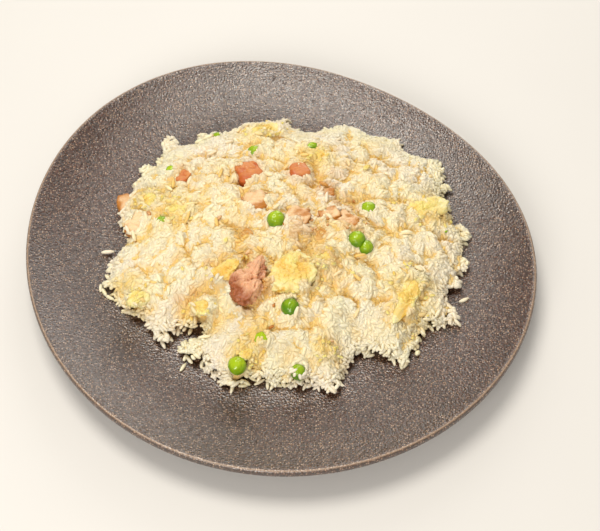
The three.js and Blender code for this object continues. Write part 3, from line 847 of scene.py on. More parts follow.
def stray_grains(heap, random):
    """Grains that lie loose on what is there: on the edges of the toppings, and here and there on
    the heap. Each rests on the highest place under it at the slope between the heights under its
    ends. Rows as for the poured grains."""
    plan = bpy.context.scene.rice_plate
    bed, height = heap["fine_bed"], heap["height"]
    x, y = np.meshgrid(bed.x, bed.y)
    tops = heap["bed"].read(np.where(np.isfinite(heap["tops"]), 1.0, 0.0), x, y) > 0.5
    deep = heap["bed"].read(heap["depth"], x, y)
    beside = grown(tops, 6) & ~grown(tops, 2)
    by_edge = np.argwhere(beside & (deep > 3))
    anywhere = np.argwhere((deep > 3) & ~grown(tops, 2))
    picks = np.concatenate(
        [
            by_edge[random.integers(0, len(by_edge), plan.strays // 2)],
            anywhere[random.integers(0, len(anywhere), plan.strays)],
        ]
    )
    count = len(picks) + len(LOOSE_GRAINS)
    half = 0.5 * plan.grain_length / MM * random.normal(0.97, 0.1, count)
    half_width = 0.5 * plan.grain_width / MM * random.normal(0.97, 0.07, count)
    loose = np.array(LOOSE_GRAINS, float).T
    turn = np.append(random.uniform(0, 2 * math.pi, len(picks)), np.radians(loose[2]))
    at_x = np.append(bed.x[picks[:, 1]], loose[0])
    at_y = np.append(bed.y[picks[:, 0]], loose[1])
    share = np.linspace(-0.8, 0.8, 9)[:, None]
    step_x, step_y = share * half * np.cos(turn), share * half * np.sin(turn)
    under = bed.read(height, at_x + step_x, at_y + step_y)
    slope = np.clip((under[7:].mean(0) - under[:2].mean(0)) / (1.4 * half), -0.8, 0.8)
    slope += random.normal(0, 0.08, count)
    middle = np.max(under - share * half * slope, axis=0) + 0.45 * half_width
    return np.stack([at_x, at_y, middle, turn, np.arctan(slope), half, half_width], -1)


def grain_cloud(grains, random):
    """The points of many grains at once. A grain's section is an ellipse, whose size along the
    grain is one minus the 2.6th power of the share of its half length, to the power 0.55, and its
    middle line is a shallow arc. Returns an array of grains by points by three."""
    rings = np.array([-0.87, -0.32, 0.32, 0.87])
    sides = 6
    round_angle = np.arange(sides) * 2 * math.pi / sides
    x, y, z, turn, tip, half, half_width = grains.T
    count = len(grains)
    ahead = np.stack([np.cos(turn) * np.cos(tip), np.sin(turn) * np.cos(tip), np.sin(tip)], -1)
    side = np.stack([-np.sin(turn), np.cos(turn), np.zeros(count)], -1)
    up = np.cross(ahead, side)
    roll = random.uniform(0, 2 * math.pi, count)[:, None]
    side, up = side * np.cos(roll) + up * np.sin(roll), up * np.cos(roll) - side * np.sin(roll)
    taper = random.uniform(-0.1, 0.1, count)[:, None] * rings
    size = (1 - np.abs(rings) ** 2.6) ** 0.55 * (1 + taper) * half_width[:, None]
    flat = random.uniform(0.84, 1.0, count)[:, None]
    bend = (random.normal(0, 0.055, count) * half)[:, None]
    wobble = random.uniform(0.94, 1.06, (count, len(rings), sides))
    centre = np.stack([x, y, z], -1)[:, None, :]
    line = centre + rings[None, :, None] * (half[:, None] * ahead)[:, None, :]
    line = line + (bend * (1 - rings**2))[:, :, None] * side[:, None, :]
    out_side = size[:, :, None] * np.cos(round_angle) * wobble
    out_up = size[:, :, None] * flat[:, :, None] * np.sin(round_angle) * wobble
    body = line[:, :, None, :]
    body = body + out_side[..., None] * side[:, None, None, :]
    body = body + out_up[..., None] * up[:, None, None, :]
    tail = centre - (half[:, None] * ahead)[:, None, :]
    head = centre + (half[:, None] * ahead)[:, None, :]
    points = np.concatenate([body.reshape(count, -1, 3), tail, head], axis=1)
    return points, wrapped_faces(len(rings), sides)


def stain_and_shade_at(x, y):
    """How yellow and how brown the rice is at a place: bell curves round each stain, added up, and
    round the egg and the meat. Some of the brown is painted shade in creases and beside the
    pieces. Less than nothing is a clean place."""
    yellow, brown = np.zeros_like(x), np.zeros_like(x)
    for at_x, at_y, radius, yellower, browner in STAINS_AND_SHADE:
        bell = np.exp(-((x - at_x) ** 2 + (y - at_y) ** 2) / radius**2)
        yellow, brown = yellow + yellower * bell, brown + browner * bell
    for name in TOPPINGS:
        low, high = node_box(name)
        middle, half = (low + high) / 2, (high - low) / 2 + 3
        bell = np.exp(-(((x - middle[0]) / half[0]) ** 2 + ((y - middle[1]) / half[1]) ** 2))
        if name.startswith("egg"):
            yellow = yellow + 0.5 * bell
        if name in ("pork_5", "ham_1", "ham_2"):
            brown = brown + 0.35 * bell
    return np.clip(yellow, -1, 1), np.clip(brown, -1, 1)


def clump_values(x, y, heap):
    """Numbers that colour the rice by place: how pale, how rosy rather than greenish, how yellow,
    how brown, and how deep in a crease between clumps. In a crease the rice is painted less pale,
    browner and towards the crease shade colour, as painted shade; near the outline it is painted
    paler, partly as painted light on the rim."""
    yellow, brown = stain_and_shade_at(x, y)
    flat = np.stack([x, y, 0 * x], -1)
    # Rice near the outline is painted paler: partly its own whiter clumps, partly painted light on
    # the rim's sides.
    edge = 1 - np.clip(heap["bed"].read(heap["depth"], x, y) / 22, 0, 1)
    inner = 1 - np.clip((np.hypot(x - HEAP_MIDDLE[0], y - HEAP_MIDDLE[1]) - 35) / 50, 0, 1)
    # Painted shade: rice in a crease between clumps is painted less pale, browner and towards the
    # crease shade colour.
    crease = heap["fine_bed"].read(heap["crease"], x, y)
    crease = crease * np.clip((heap["bed"].read(heap["depth"], x, y) - 1) / 3, 0, 1)
    crease = crease * (1 - 0.8 * np.clip(-yellow, 0, 1))
    pale = 0.9 + 0.4 * edge - 0.3 * inner + 0.8 * layered_swell(flat, 11, 31, 2) - 0.5 * crease
    rosy = 0.45 + 0.8 * layered_swell(flat, 14, 34, 2)
    most = 0.25 + 0.75 * inner
    yellow = yellow + 0.8 * most * np.clip(layered_swell(flat, 11, 37, 3), 0, 1)
    brown = brown + 0.8 * most * np.clip(layered_swell(flat, 7, 39, 2) - 0.25, 0, 1)
    brown = brown + 0.3 * most * crease
    return {"pale": pale, "rosy": rosy, "yellow": yellow, "brown": brown, "deep": crease}


def grain_values(points, heap, random):
    """The numbers of the place where a grain lies, with a little chance from grain to grain. Each
    grain is also painted deeper in tone towards its lower side, below the heap's evened-out skin,
    as painted shade, less so near the outline."""
    middle = points.mean(1)
    values = clump_values(middle[:, 0], middle[:, 1], heap)
    spread = random.normal(0, 1, (4, len(points)))
    values["pale"] = values["pale"] + 0.06 * spread[0]
    values["rosy"] = values["rosy"] + 0.06 * spread[1]
    values["yellow"] = values["yellow"] * (0.9 + 0.2 * spread[2])
    values["brown"] = values["brown"] * (0.85 + 0.25 * spread[3])
    within = np.clip((heap["bed"].read(heap["depth"], middle[:, 0], middle[:, 1]) - 1) / 4, 0, 1)
    values = {label: np.repeat(numbers, points.shape[1]) for label, numbers in values.items()}
    x, y, z = points.reshape(-1, 3).T
    # Painted shade: the lower side of every grain, below the evened-out skin, is painted towards the
    # crease shade colour.
    below = heap["fine_bed"].read(heap["skin"], x, y) - z
    within = np.repeat(within, points.shape[1])
    values["deep"] = values["deep"] + within * np.clip(below / 1.8, 0, 0.5)
    return {label: np.clip(numbers, 0, 1) for label, numbers in values.items()}


def add_grains(name, grains, heap, random, nodes):
    """One piece of many grains, each with its own colour numbers."""
    points, faces = grain_cloud(grains, random)
    faces = repeated_faces(faces, points.shape[1], len(points))
    values = grain_values(points, heap, random)
    add_piece(name, points.reshape(-1, 3), faces, rice_finish(), nodes, values)


def build_grains(heap):
    """The poured and the loose grains, in a few pieces of under two hundred thousand triangles
    each."""
    random = np.random.default_rng(SEED + 1)
    grains = np.concatenate([heap["grains"], stray_grains(heap, random)])
    shares = math.ceil(len(grains) / GRAINS_A_PIECE)
    for number, part in enumerate(np.array_split(grains, shares), 1):
        add_grains(f"rice_grains_{number}", part, heap, random, ["rice_heap"])


def build_dropped(heap):
    """The two grains that lie on the bare plate, as long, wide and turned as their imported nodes."""
    random = np.random.default_rng(SEED + 2)
    for name, turn in (("dropped_1", 5), ("dropped_2", 50)):
        low, high = node_box(name)
        middle = (low + high) / 2
        points = node_points(name)[:, :2] - middle[:2]
        angle = math.radians(turn)
        half = np.max(points @ np.array([math.cos(angle), math.sin(angle)]))
        half_width = (high[2] - low[2]) / 2
        row = np.array([[*middle, angle, 0, half, half_width]])
        add_grains(f"{name}_grain", row, heap, random, [name])


# ---------------------------------------------------------------------------------------- toppings


def node_shell(name, rows, columns, rounds):
    """A closed shell round a packed topping: a grid of latitude and longitude, whose distance from
    the topping's middle is read by rays outwards and evened out with its neighbours so many
    times. Returns the middle, the directions and the distances."""
    low, high = node_box(name)
    middle = (low + high) / 2
    tree = node_tree(name)
    up = ((np.arange(rows) + 0.5) / rows - 0.5) * math.pi
    turn = np.arange(columns) * 2 * math.pi / columns
    up, turn = np.meshgrid(up, turn, indexing="ij")
    ways = np.stack([np.cos(up) * np.cos(turn), np.cos(up) * np.sin(turn), np.sin(up)], -1)
    hits = [tree.ray_cast(middle, way)[3] for way in ways.reshape(-1, 3)]
    reach = np.array([hit if hit is not None else math.nan for hit in hits])
    reach = np.where(np.isfinite(reach), reach, np.nanmean(reach)).reshape(rows, columns)
    for _ in range(rounds):
        before = np.concatenate([np.roll(reach[:1], columns // 2, 1), reach[:-1]])
        after = np.concatenate([reach[1:], np.roll(reach[-1:], columns // 2, 1)])
        beside = np.roll(reach, 1, 1) + np.roll(reach, -1, 1)
        reach = (reach + before + after + beside) / 5
    return middle, ways, reach


@cache
def lump(name):
    """One topping, worked out once: its shell, with the upper half lowered to a share of its
    height, pushed in and out by a relief that is a function of place. The number "crest" runs from
    0 in the relief's hollows to 1 on its backs, "top" from 0 on the underside to 1 on top,
    "browned" grows towards the darker side, which is partly browned and partly painted shade, and
    "tone" is the piece's own."""
    rows, columns, rounds = own(GRIDS, name)
    middle, ways, reach = node_shell(name, rows, columns, rounds)
    low, high = node_box(name)
    half = (high - low) / 2
    grid = ways * reach[..., None]
    grid[..., 2] *= np.where(grid[..., 2] > 0, own(LOWERED, name, 1.0), 1)
    rough = own(RELIEFS, name)(grid, middle)
    grid = grid + ways * rough[..., None]
    angle, amount = BROWNED_AND_SHADED_SIDES.get(name, (0, 0))
    angle = math.radians(angle)
    towards = grid[..., 0] / half[0] * math.cos(angle) + grid[..., 1] / half[1] * math.sin(angle)
    browned = amount * np.clip((towards - 0.3 + 0.3 * swell(grid + middle, 3, 43)) / 0.5, 0, 1)
    spread = np.ptp(rough) or 1
    crest = np.clip((rough - rough.min()) / spread, 0, 1)
    numbers = {
        "crest": crest,
        "top": 0.5 + 0.5 * ways[..., 2],
        "browned": browned,
        "tone": np.full(crest.shape, TONES.get(name, USUAL_TONE)),
    }
    values = {
        label: np.append(found.ravel(), [found[0].mean(), found[-1].mean()])
        for label, found in numbers.items()
    }
    grid = grid + middle
    points = with_poles(grid, grid[0].mean(0), grid[-1].mean(0))
    faces = wrapped_faces(rows, columns)
    polygons = [corners for part in faces for corners in part.tolist()]
    tree = BVHTree.FromPolygons(points.tolist(), polygons)
    return {"points": points, "faces": faces, "values": values, "tree": tree}


def add_lump(name, piece_name, material):
    """Puts one topping in the scene."""
    made = lump(name)
    add_piece(piece_name, made["points"], made["faces"], material, [name], made["values"])


def pea_relief(place, at):
    """A pea's skin: slow dents, a few sunken creases and fine wrinkles."""
    here = place + at
    sunken = 0.55 * np.minimum(folds(here, 3.6, 44) - 0.5, 0)
    wrinkles = 0.1 * swell(here, 1.3, 42) + 0.14 * (folds(here, 1.7, 45) - 0.62)
    return 0.35 * swell(here, 4.5, 41) + sunken + wrinkles


def split_pea_relief(place, at):
    """A split pea's skin: as a whole pea's, but drawn out towards the pea it is pressed against."""
    low, high = node_box("pea_2")
    beside = (low + high) / 2 - at
    towards = place @ (beside / np.linalg.norm(beside))
    return pea_relief(place, at) + 1.5 * towards / np.linalg.norm(place, axis=-1) + 0.3


def dice_relief(place, at):
    """Cut meat: slow unevenness, short fibres along one way and a crumbly surface."""
    here = place + at
    stretched = here * np.array([0.35, 1, 1])
    return (
        0.8 * swell(here, 5.0, 51)
        + 0.6 * (folds(here, 3.6, 54) - 0.62)
        + 0.25 * swell(stretched, 1.1, 52)
        + 0.14 * swell(here, 0.7, 53)
    )


def shred_relief(place, at):
    """A torn shred of roast meat: it narrows to its far end, is folded over at its near end, and
    has deep grooves along the fibres, pits and a frayed surface."""
    turn = math.radians(68)
    along = place @ np.array([math.cos(turn), math.sin(turn), 0])
    aside = place @ np.array([-math.sin(turn), math.cos(turn), 0])
    fibres = np.stack([0.28 * along, aside, place[..., 2]], -1) + at
    bent = along + 2.5 + 0.6 * aside + 1.2 * swell(place + at, 5, 65)
    narrow = np.clip((along + 2) / 9, 0, 1) * np.clip(np.abs(aside) / 4, 0, 1)
    bowl = np.hypot(along + 7.5, 1.1 * (aside + 0.5)) + 0.8 * swell(place + at, 3, 66)
    pit = np.clip((swell(place + at, 1.8, 67) - 0.4) / 0.15, 0, 1)
    return (
        1.9 * (folds(place + at, 5, 62) - 0.62)
        + 1.3 * (folds(fibres, 2.3, 61) - 0.62)
        + 0.55 * swell(fibres, 0.9, 63)
        + 0.5 * swell(place + at, 0.9, 64)
        - 2.9 * narrow
        - 1.6 * np.exp(-((bent / 1.1) ** 2))
        - 1.5 * np.exp(-((bowl / 2.4) ** 2))
        + 0.8 * np.exp(-(((bowl - 4.6) / 1.3) ** 2))
        - 0.9 * pit
        - 1.0 * np.clip(-(along + 9) / 4, 0, 1)
        + 0.4
    )


def curd_relief(torn):
    """The relief of a lump of scrambled egg: lobes as torn as asked for, rounded curds of two sizes
    with creases between them, and a crumbly surface."""

    def relief(place, at):
        here = place + at
        bend = np.stack([swell(here, 5, 71), swell(here, 5, 72), swell(here, 5, 73)], -1)
        here = here + 1.4 * bend
        return (
            1.8 * torn * swell(here, 6.0, 78)
            + 1.3 * torn * (folds(here, 4.2, 74) - 0.64)
            + 0.9 * (folds(here, 2.2, 75) - 0.64)
            + 0.4 * swell(here, 1.1, 76)
            + 0.22 * swell(here, 0.6, 77)
        )

    return relief


def strip_relief(turn):
    """The relief of a strip of scrambled egg that lies at a turn, in degrees: lobed sides, ragged
    tapering ends, long folds along it with short ones across, and a crumbly surface."""
    c, s = math.cos(math.radians(turn)), math.sin(math.radians(turn))

    def relief(place, at):
        along, aside = c * place[..., 0] + s * place[..., 1], c * place[..., 1] - s * place[..., 0]
        here = place + at
        bent = aside + 1.2 * swell(here, 6, 71)
        long = np.stack([0.3 * along, bent, 0.6 * place[..., 2]], -1) + at
        end = np.clip((np.abs(along) - 8) / 6, 0, 1)
        return (
            2.2 * swell(here, 5.5, 72)
            + 1.6 * (folds(long, 3.4, 74) - 0.62)
            + 0.9 * (folds(here, 2.2, 75) - 0.64)
            + 0.4 * swell(here, 1.1, 76)
            + 0.22 * swell(here, 0.6, 77)
            - 2.2 * end * np.clip(np.abs(aside) / 3, 0, 1)
            + 0.3
        )

    return relief


RELIEFS = {
    "pea_3": split_pea_relief,
    "pea": pea_relief,
    "ham": dice_relief,
    "pork": dice_relief,
    "pork_5": shred_relief,
    "egg": curd_relief(1.0),
    "egg_1": curd_relief(0.55),
    "egg_3": strip_relief(62),
    "egg_4": strip_relief(18),
}


# ------------------------------------------------------------------------------------------ scraps


def scrap_cloud(rows, random):
    """The points of small torn bits: each is a lat-long grid whose distance from the middle is an
    ellipsoid's times one plus a random share. Rows are x, y, z, length, width and turn."""
    levels, sides = 6, 9
    up = ((np.arange(levels) + 0.5) / levels - 0.5) * math.pi
    around = np.arange(sides) * 2 * math.pi / sides
    up, around = np.meshgrid(up, around, indexing="ij")
    ball = np.stack([np.cos(up) * np.cos(around), np.cos(up) * np.sin(around), np.sin(up)], -1)
    ball = with_poles(ball, (0, 0, -1), (0, 0, 1))
    x, y, z, long, wide, turn = np.array(rows, float).T
    size = np.stack([long / 2, wide / 2, 0.4 * wide], -1)
    points = ball[None] * size[:, None] * random.uniform(0.72, 1.2, (len(x), len(ball), 1))
    c, s = np.cos(turn)[:, None], np.sin(turn)[:, None]
    turned = [points[..., 0] * c - points[..., 1] * s, points[..., 0] * s + points[..., 1] * c]
    points = np.stack([*turned, points[..., 2]], -1) + np.stack([x, y, z], -1)[:, None]
    top = np.tile(0.5 + 0.5 * ball[:, 2], len(x))
    return points, repeated_faces(wrapped_faces(levels, sides), len(ball), len(x)), top


def build_scraps(heap):
    """The small torn bits in the rice: the named ones, and crumbs of egg and meat scattered round
    the pieces that they broke off."""
    random = np.random.default_rng(SEED + 3)
    bed = heap["fine_bed"]
    finishes = {"meat": pork_finish(), "egg": egg_finish(), "pea": pea_finish()}
    for kind, crumbs in CRUMBS.items():
        rows = [row[1:] for row in SCRAPS if row[0] == kind]
        names = [name for name in TOPPINGS if name.startswith("egg" if kind == "egg" else "pork")]
        for name in random.choice(names, crumbs):
            low, high = (corner[:2] for corner in node_box(name))
            way = random.uniform(0, 2 * math.pi)
            reach = (high - low) / 2 * random.uniform(0.85, 1.25) + random.normal(0, 1, 2)
            place = (low + high) / 2 + reach * np.array([math.cos(way), math.sin(way)])
            rows.append((*place, *random.uniform((1.4, 1.0), (3.6, 2.2)), random.uniform(0, 180)))
        x, y, long, wide, turn = np.array(rows, float).T
        keep = heap["bed"].read(heap["depth"], x, y) > 2
        bare = heap["bed"].read(np.isfinite(heap["tops"]).astype(float), x, y) < 0.4
        keep &= bare | (np.arange(len(x)) < len(rows) - crumbs)
        z = bed.read(heap["height"], x, y) + 0.15 * wide
        rows = np.stack([x, y, z, long, wide, np.radians(turn)], -1)[keep]
        points, faces, top = scrap_cloud(rows, random)
        count = points.shape[1]
        browned = np.repeat(random.uniform(0.0, 0.7, len(rows)), count)
        crest = np.repeat(random.uniform(0.2, 0.9, len(rows)), count)
        values = {"crest": crest, "top": top, "browned": browned, "tone": browned}
        points = points.reshape(-1, 3)
        add_piece(f"{kind}_scraps", points, faces, finishes[kind], ["rice_heap"], values)


# --------------------------------------------------------------------------------- shader helpers


def add_node(tree, kind, inputs=None, **settings):
    """A shader node with its settings made and its inputs set or linked."""
    made = tree.nodes.new(kind)
    for key, value in settings.items():
        setattr(made, key, value)
    for key, value in (inputs or {}).items():
        if isinstance(value, bpy.types.NodeSocket):
            tree.links.new(value, made.inputs[key])
        else:
            made.inputs[key].default_value = value
    return made


def mixed(tree, share, first, second, blend_type="MIX"):
    """The colour between two colours."""
    inputs = {0: share, 6: first, 7: second}
    made = add_node(tree, "ShaderNodeMix", inputs, data_type="RGBA", blend_type=blend_type)
    return made.outputs[2]


def calc(tree, operation, first, second=0.0, clamp=False):
    """One sum on two numbers."""
    inputs = {0: first, 1: second}
    made = add_node(tree, "ShaderNodeMath", inputs, operation=operation, use_clamp=clamp)
    return made.outputs[0]


def spread_out(tree, value, low, high):
    """The value between two limits as a smooth share from 0 to 1."""
    inputs = {"Value": value, "From Min": low, "From Max": high}
    made = add_node(tree, "ShaderNodeMapRange", inputs, interpolation_type="SMOOTHSTEP")
    return made.outputs["Result"]


def attribute(tree, name):
    """A number that the mesh carries for each point."""
    return add_node(tree, "ShaderNodeAttribute", attribute_name=name).outputs["Fac"]


def new_group(name, inputs, outputs):
    """An empty shader group with named inputs (name, kind, default) and outputs (name, kind)."""
    tree = bpy.data.node_groups.new(name, "ShaderNodeTree")
    for label, kind, default in inputs:
        socket = tree.interface.new_socket(label, in_out="INPUT", socket_type=kind)
        if default is not None:
            socket.default_value = default
    for label, kind in outputs:
        tree.interface.new_socket(label, in_out="OUTPUT", socket_type=kind)
    return tree, tree.nodes.new("NodeGroupInput").outputs, tree.nodes.new("NodeGroupOutput").inputs


@cache
def mottling():
    """Cloudy patches of two colours, and the mask between them."""
    tree, given, out = new_group(
        "Mottling",
        (
            ("Place", "NodeSocketVector", None),
            ("Patches per metre", "NodeSocketFloat", 100.0),
            ("Contrast", "NodeSocketFloat", 0.5),
            ("First colour", "NodeSocketColor", None),
            ("Second colour", "NodeSocketColor", None),
        ),
        (("Colour", "NodeSocketColor"), ("Mask", "NodeSocketFloat")),
    )
    noise = add_node(
        tree,
        "ShaderNodeTexNoise",
        {
            "Vector": given["Place"],
            "Scale": given["Patches per metre"],
            "Detail": 4.0,
            "Roughness": 0.6,
        },
    )
    half = calc(tree, "MULTIPLY", given["Contrast"], 0.25)
    low = calc(tree, "ADD", 0.25, half)
    high = calc(tree, "SUBTRACT", 0.75, half)
    mask = spread_out(tree, noise.outputs["Fac"], low, high)
    tree.links.new(mask, out["Mask"])
    tree.links.new(mixed(tree, mask, given["First colour"], given["Second colour"]), out["Colour"])
    return tree


@cache
def grit():
    """Fine relief of two sizes, as a height."""
    tree, given, out = new_group(
        "Grit",
        (
            ("Place", "NodeSocketVector", None),
            ("Bumps per metre", "NodeSocketFloat", 800.0),
            ("Pits", "NodeSocketFloat", 0.3),
        ),
        (("Height", "NodeSocketFloat"),),
    )
    inputs = {"Vector": given["Place"], "Scale": given["Bumps per metre"], "Detail": 2.0}
    noise = add_node(tree, "ShaderNodeTexNoise", inputs)
    inputs = {"Vector": given["Place"], "Scale": given["Bumps per metre"]}
    cells = add_node(tree, "ShaderNodeTexVoronoi", inputs)
    pits = calc(tree, "MULTIPLY", cells.outputs["Distance"], given["Pits"])
    tree.links.new(calc(tree, "SUBTRACT", noise.outputs["Fac"], pits), out["Height"])
    return tree


@cache
def moisture():
    """Patches of damp and dry surface, as a roughness."""
    tree, given, out = new_group(
        "Moisture",
        (
            ("Place", "NodeSocketVector", None),
            ("Patches per metre", "NodeSocketFloat", 250.0),
            ("Damp roughness", "NodeSocketFloat", 0.3),
            ("Dry roughness", "NodeSocketFloat", 0.6),
        ),
        (("Roughness", "NodeSocketFloat"),),
    )
    inputs = {"Vector": given["Place"], "Scale": given["Patches per metre"], "Detail": 3.0}
    noise = add_node(tree, "ShaderNodeTexNoise", inputs)
    inputs = {
        "Value": noise.outputs["Fac"],
        "From Min": 0.35,
        "From Max": 0.65,
        "To Min": given["Damp roughness"],
        "To Max": given["Dry roughness"],
    }
    made = add_node(tree, "ShaderNodeMapRange", inputs)
    tree.links.new(made.outputs["Result"], out["Roughness"])
    return tree


@cache
def rice_tints():
    """The colour of rice from five shares: greenish to rosy cream where it is pale, a warmer cream
    where it isn't, then yellow, brown, and a warm tan deep in a crease and on the grains' lower
    sides, which is painted shade."""
    shares = ("Rosy share", "Pale share", "Yellow share", "Brown share", "Deep share")
    # The Packed tint is painted shade: the colour of rice in creases and on the grains' lower sides.
    tints = ("Greenish", "Rosy", "Warm", "Yellow", "Brown", "Packed")
    tree, given, out = new_group(
        "Rice tints",
        [(label, "NodeSocketFloat", 0.0) for label in shares]
        + [(label, "NodeSocketColor", None) for label in tints],
        (("Colour", "NodeSocketColor"),),
    )
    pale = mixed(tree, given["Rosy share"], given["Greenish"], given["Rosy"])
    tint = mixed(tree, given["Pale share"], given["Warm"], pale)
    tint = mixed(tree, given["Yellow share"], tint, given["Yellow"])
    tint = mixed(tree, given["Brown share"], tint, given["Brown"])
    tree.links.new(mixed(tree, given["Deep share"], tint, given["Packed"]), out["Colour"])
    return tree


@cache
def browning_and_shade():
    """How dark meat is painted, as a mask: wholly on its seared side and below the cut top, partly
    seared and partly painted shade, mostly in its hollows as painted shade, and a little in patches."""
    labels = ("Top", "Crest", "Browned", "Tone", "Patches", "Cut at")
    tree, given, out = new_group(
        "Browning",
        [(label, "NodeSocketFloat", 0.5) for label in labels],
        (("Mask", "NodeSocketFloat"),),
    )
    above, below = (calc(tree, sign, given["Cut at"], 0.12) for sign in ("ADD", "SUBTRACT"))
    # Below the cut top the sides are painted darker: partly the seared crust, partly painted shade.
    side = spread_out(tree, given["Top"], above, below)
    # Painted shade: the hollows of the meat are painted darker.
    hollow = spread_out(tree, given["Crest"], 0.5, 0.1)
    share = calc(tree, "MAXIMUM", side, calc(tree, "MULTIPLY", hollow, 0.8))
    share = calc(tree, "MAXIMUM", share, given["Browned"])
    tone = calc(tree, "MULTIPLY", calc(tree, "SUBTRACT", given["Tone"], 0.5), 0.8)
    share = calc(tree, "ADD", share, tone)
    patches = calc(tree, "MULTIPLY", given["Patches"], 0.35)
    tree.links.new(calc(tree, "ADD", share, patches, True), out["Mask"])
    return tree


class Finish:
    """A material being made: its node tree, its shader and the place on the object."""

    def __init__(self, name, **constants):
        self.material = bpy.data.materials.new(name)
        self.material.use_nodes = True
        self.tree = self.material.node_tree
        self.shader = self.tree.nodes["Principled BSDF"]
        self.place = add_node(self.tree, "ShaderNodeTexCoord").outputs["Object"]
        for key, value in constants.items():
            self.shader.inputs[key.replace("_", " ")].default_value = value

    def group(self, tree, **inputs):
        """Puts a shared group in the material; it reads the place on the object if it asks to."""
        made = self.tree.nodes.new("ShaderNodeGroup")
        made.node_tree = tree
        if "Place" in made.inputs:
            self.tree.links.new(self.place, made.inputs["Place"])
        for key, value in inputs.items():
            socket = made.inputs[key.replace("_", " ").capitalize()]
            if isinstance(value, bpy.types.NodeSocket):
                self.tree.links.new(value, socket)
            else:
                socket.default_value = value
        return made.outputs

    def feed(self, label, socket):
        """Links a colour, a value or a normal to the shader."""
        self.tree.links.new(socket, self.shader.inputs[label])

    def relief(self, height, distance, strength):
        """A bump of that many metres that feeds the normal."""
        inputs = {"Height": height, "Distance": distance, "Strength": strength}
        made = add_node(self.tree, "ShaderNodeBump", inputs)
        self.feed("Normal", made.outputs["Normal"])

    def cloud(self, first, second, patches, contrast):
        """Cloudy patches of two colours: their colour and their mask."""
        return self.group(
            mottling(),
            patches_per_metre=patches,
            contrast=contrast,
            first_colour=first,
            second_colour=second,
        )

    def dampen(self, damp, dry, patches=250.0):
        """Damp and dry patches, of these two roughnesses."""
        made = self.group(
            moisture(), patches_per_metre=patches, damp_roughness=damp, dry_roughness=dry
        )
        self.feed("Roughness", made["Roughness"])

    def roughen(self, bumps, distance, strength=1.0, pits=0.3):
        """A gritty relief of so many bumps a metre."""
        height = self.group(grit(), bumps_per_metre=bumps, pits=pits)["Height"]
        self.relief(height, distance, strength)


# ---------------------------------------------------------------------------------------- finishes


@cache
def plate_finish():
    """Matte stoneware: a brown-grey body with a slow drift to red, pale flecks, partly painted
    glints, and dark pits of about a millimetre, a pebbled skin, and a thin pale line along the rim's
    edge, a painted highlight."""
    plan = bpy.context.scene.rice_plate
    finish = Finish("stoneware", IOR=1.53, Specular_IOR_Level=1.0)
    tree = finish.tree
    body = finish.cloud(plan.clay_colour, plan.clay_red_colour, 9.0, 0.3)["Colour"]
    # Pale flecks: partly the glaze's own flecks, partly painted glints where the lamps would catch
    # the pebbled skin.
    cells = {"Vector": finish.place, "Scale": 1050.0, "Randomness": 1.0}
    cells = add_node(tree, "ShaderNodeTexVoronoi", cells, feature="F1")
    dot = spread_out(tree, cells.outputs["Distance"], 0.5, 0.12)
    strength = add_node(tree, "ShaderNodeSeparateColor", {"Color": cells.outputs["Color"]})
    pale = calc(tree, "MULTIPLY", dot, calc(tree, "POWER", strength.outputs["Red"], 1.6))
    dark = spread_out(tree, cells.outputs["Distance"], 0.42, 0.75)
    grain = {"Vector": finish.place, "Scale": 1350.0, "Detail": 1.0}
    grain = add_node(tree, "ShaderNodeTexNoise", grain).outputs["Fac"]
    body = mixed(tree, spread_out(tree, grain, 0.36, 0.64), plan.pit_colour, body)
    colour = mixed(tree, pale, body, plan.fleck_and_glint_colour)
    colour = mixed(tree, calc(tree, "MULTIPLY", dark, 0.6), colour, plan.pit_colour)
    # Painted highlight: the thin line along the rim's edge is mixed towards the pale fleck colour.
    rim = calc(tree, "POWER", attribute(tree, "rim_line"), 3.0)
    rim = calc(tree, "MULTIPLY", rim, 0.8)
    finish.feed("Base Color", mixed(tree, rim, colour, plan.fleck_and_glint_colour))
    finish.dampen(0.24, 0.34, patches=420.0)
    finish.roughen(1000.0, 0.0005, 0.46, pits=0.7)
    return finish.material


def feed_rice_colour(finish, cloudy, patches):
    """Feeds a rice finish the colour that the numbers on the mesh ask for, tinted in cloudy
    patches."""
    plan = bpy.context.scene.rice_plate
    shares = {
        f"{name}_share": attribute(finish.tree, name)
        for name in ("rosy", "pale", "yellow", "brown", "deep")
    }
    colour = finish.group(
        rice_tints(),
        greenish=plan.rice_green_colour,
        rosy=plan.rice_rosy_colour,
        warm=plan.rice_warm_colour,
        yellow=plan.rice_yellow_colour,
        brown=plan.rice_brown_colour,
        packed=plan.crease_shade_colour,
        **shares,
    )["Colour"]
    cloud = finish.cloud(cloudy, (1.0, 1.0, 1.0, 1.0), patches, 0.2)["Colour"]
    finish.feed("Base Color", mixed(finish.tree, 1.0, colour, cloud, "MULTIPLY"))


@cache
def core_finish():
    """The damp packed rice that shows between the grains, with darker patches: seasoning stains,
    and painted shade in the creases between clumps.
    """
    finish = Finish(
        "packed_rice",
        Subsurface_Weight=0.45,
        Subsurface_Radius=(1.0, 0.93, 0.8),
        Subsurface_Scale=0.0014,
    )
    feed_rice_colour(finish, (0.93, 0.88, 0.78, 1.0), 400.0)
    finish.dampen(0.35, 0.6)
    finish.roughen(500.0, 0.0006)
    return finish.material


@cache
def rice_finish():
    """Cooked rice: a cream that runs from pale to warm from grain to grain, with yellow and brown
    where egg or sauce has run in, painted warmer deep in the heap and in creases as painted shade,
    and faint cloudy cores."""
    finish = Finish(
        "cooked_rice",
        Subsurface_Weight=0.45,
        Subsurface_Radius=(1.0, 0.93, 0.8),
        Subsurface_Scale=0.0014,
        Specular_IOR_Level=0.4,
    )
    feed_rice_colour(finish, (0.94, 0.92, 0.86, 1.0), 520.0)
    finish.dampen(0.3, 0.5, patches=300.0)
    finish.roughen(1100.0, 0.00015, pits=0.2)
    return finish.material


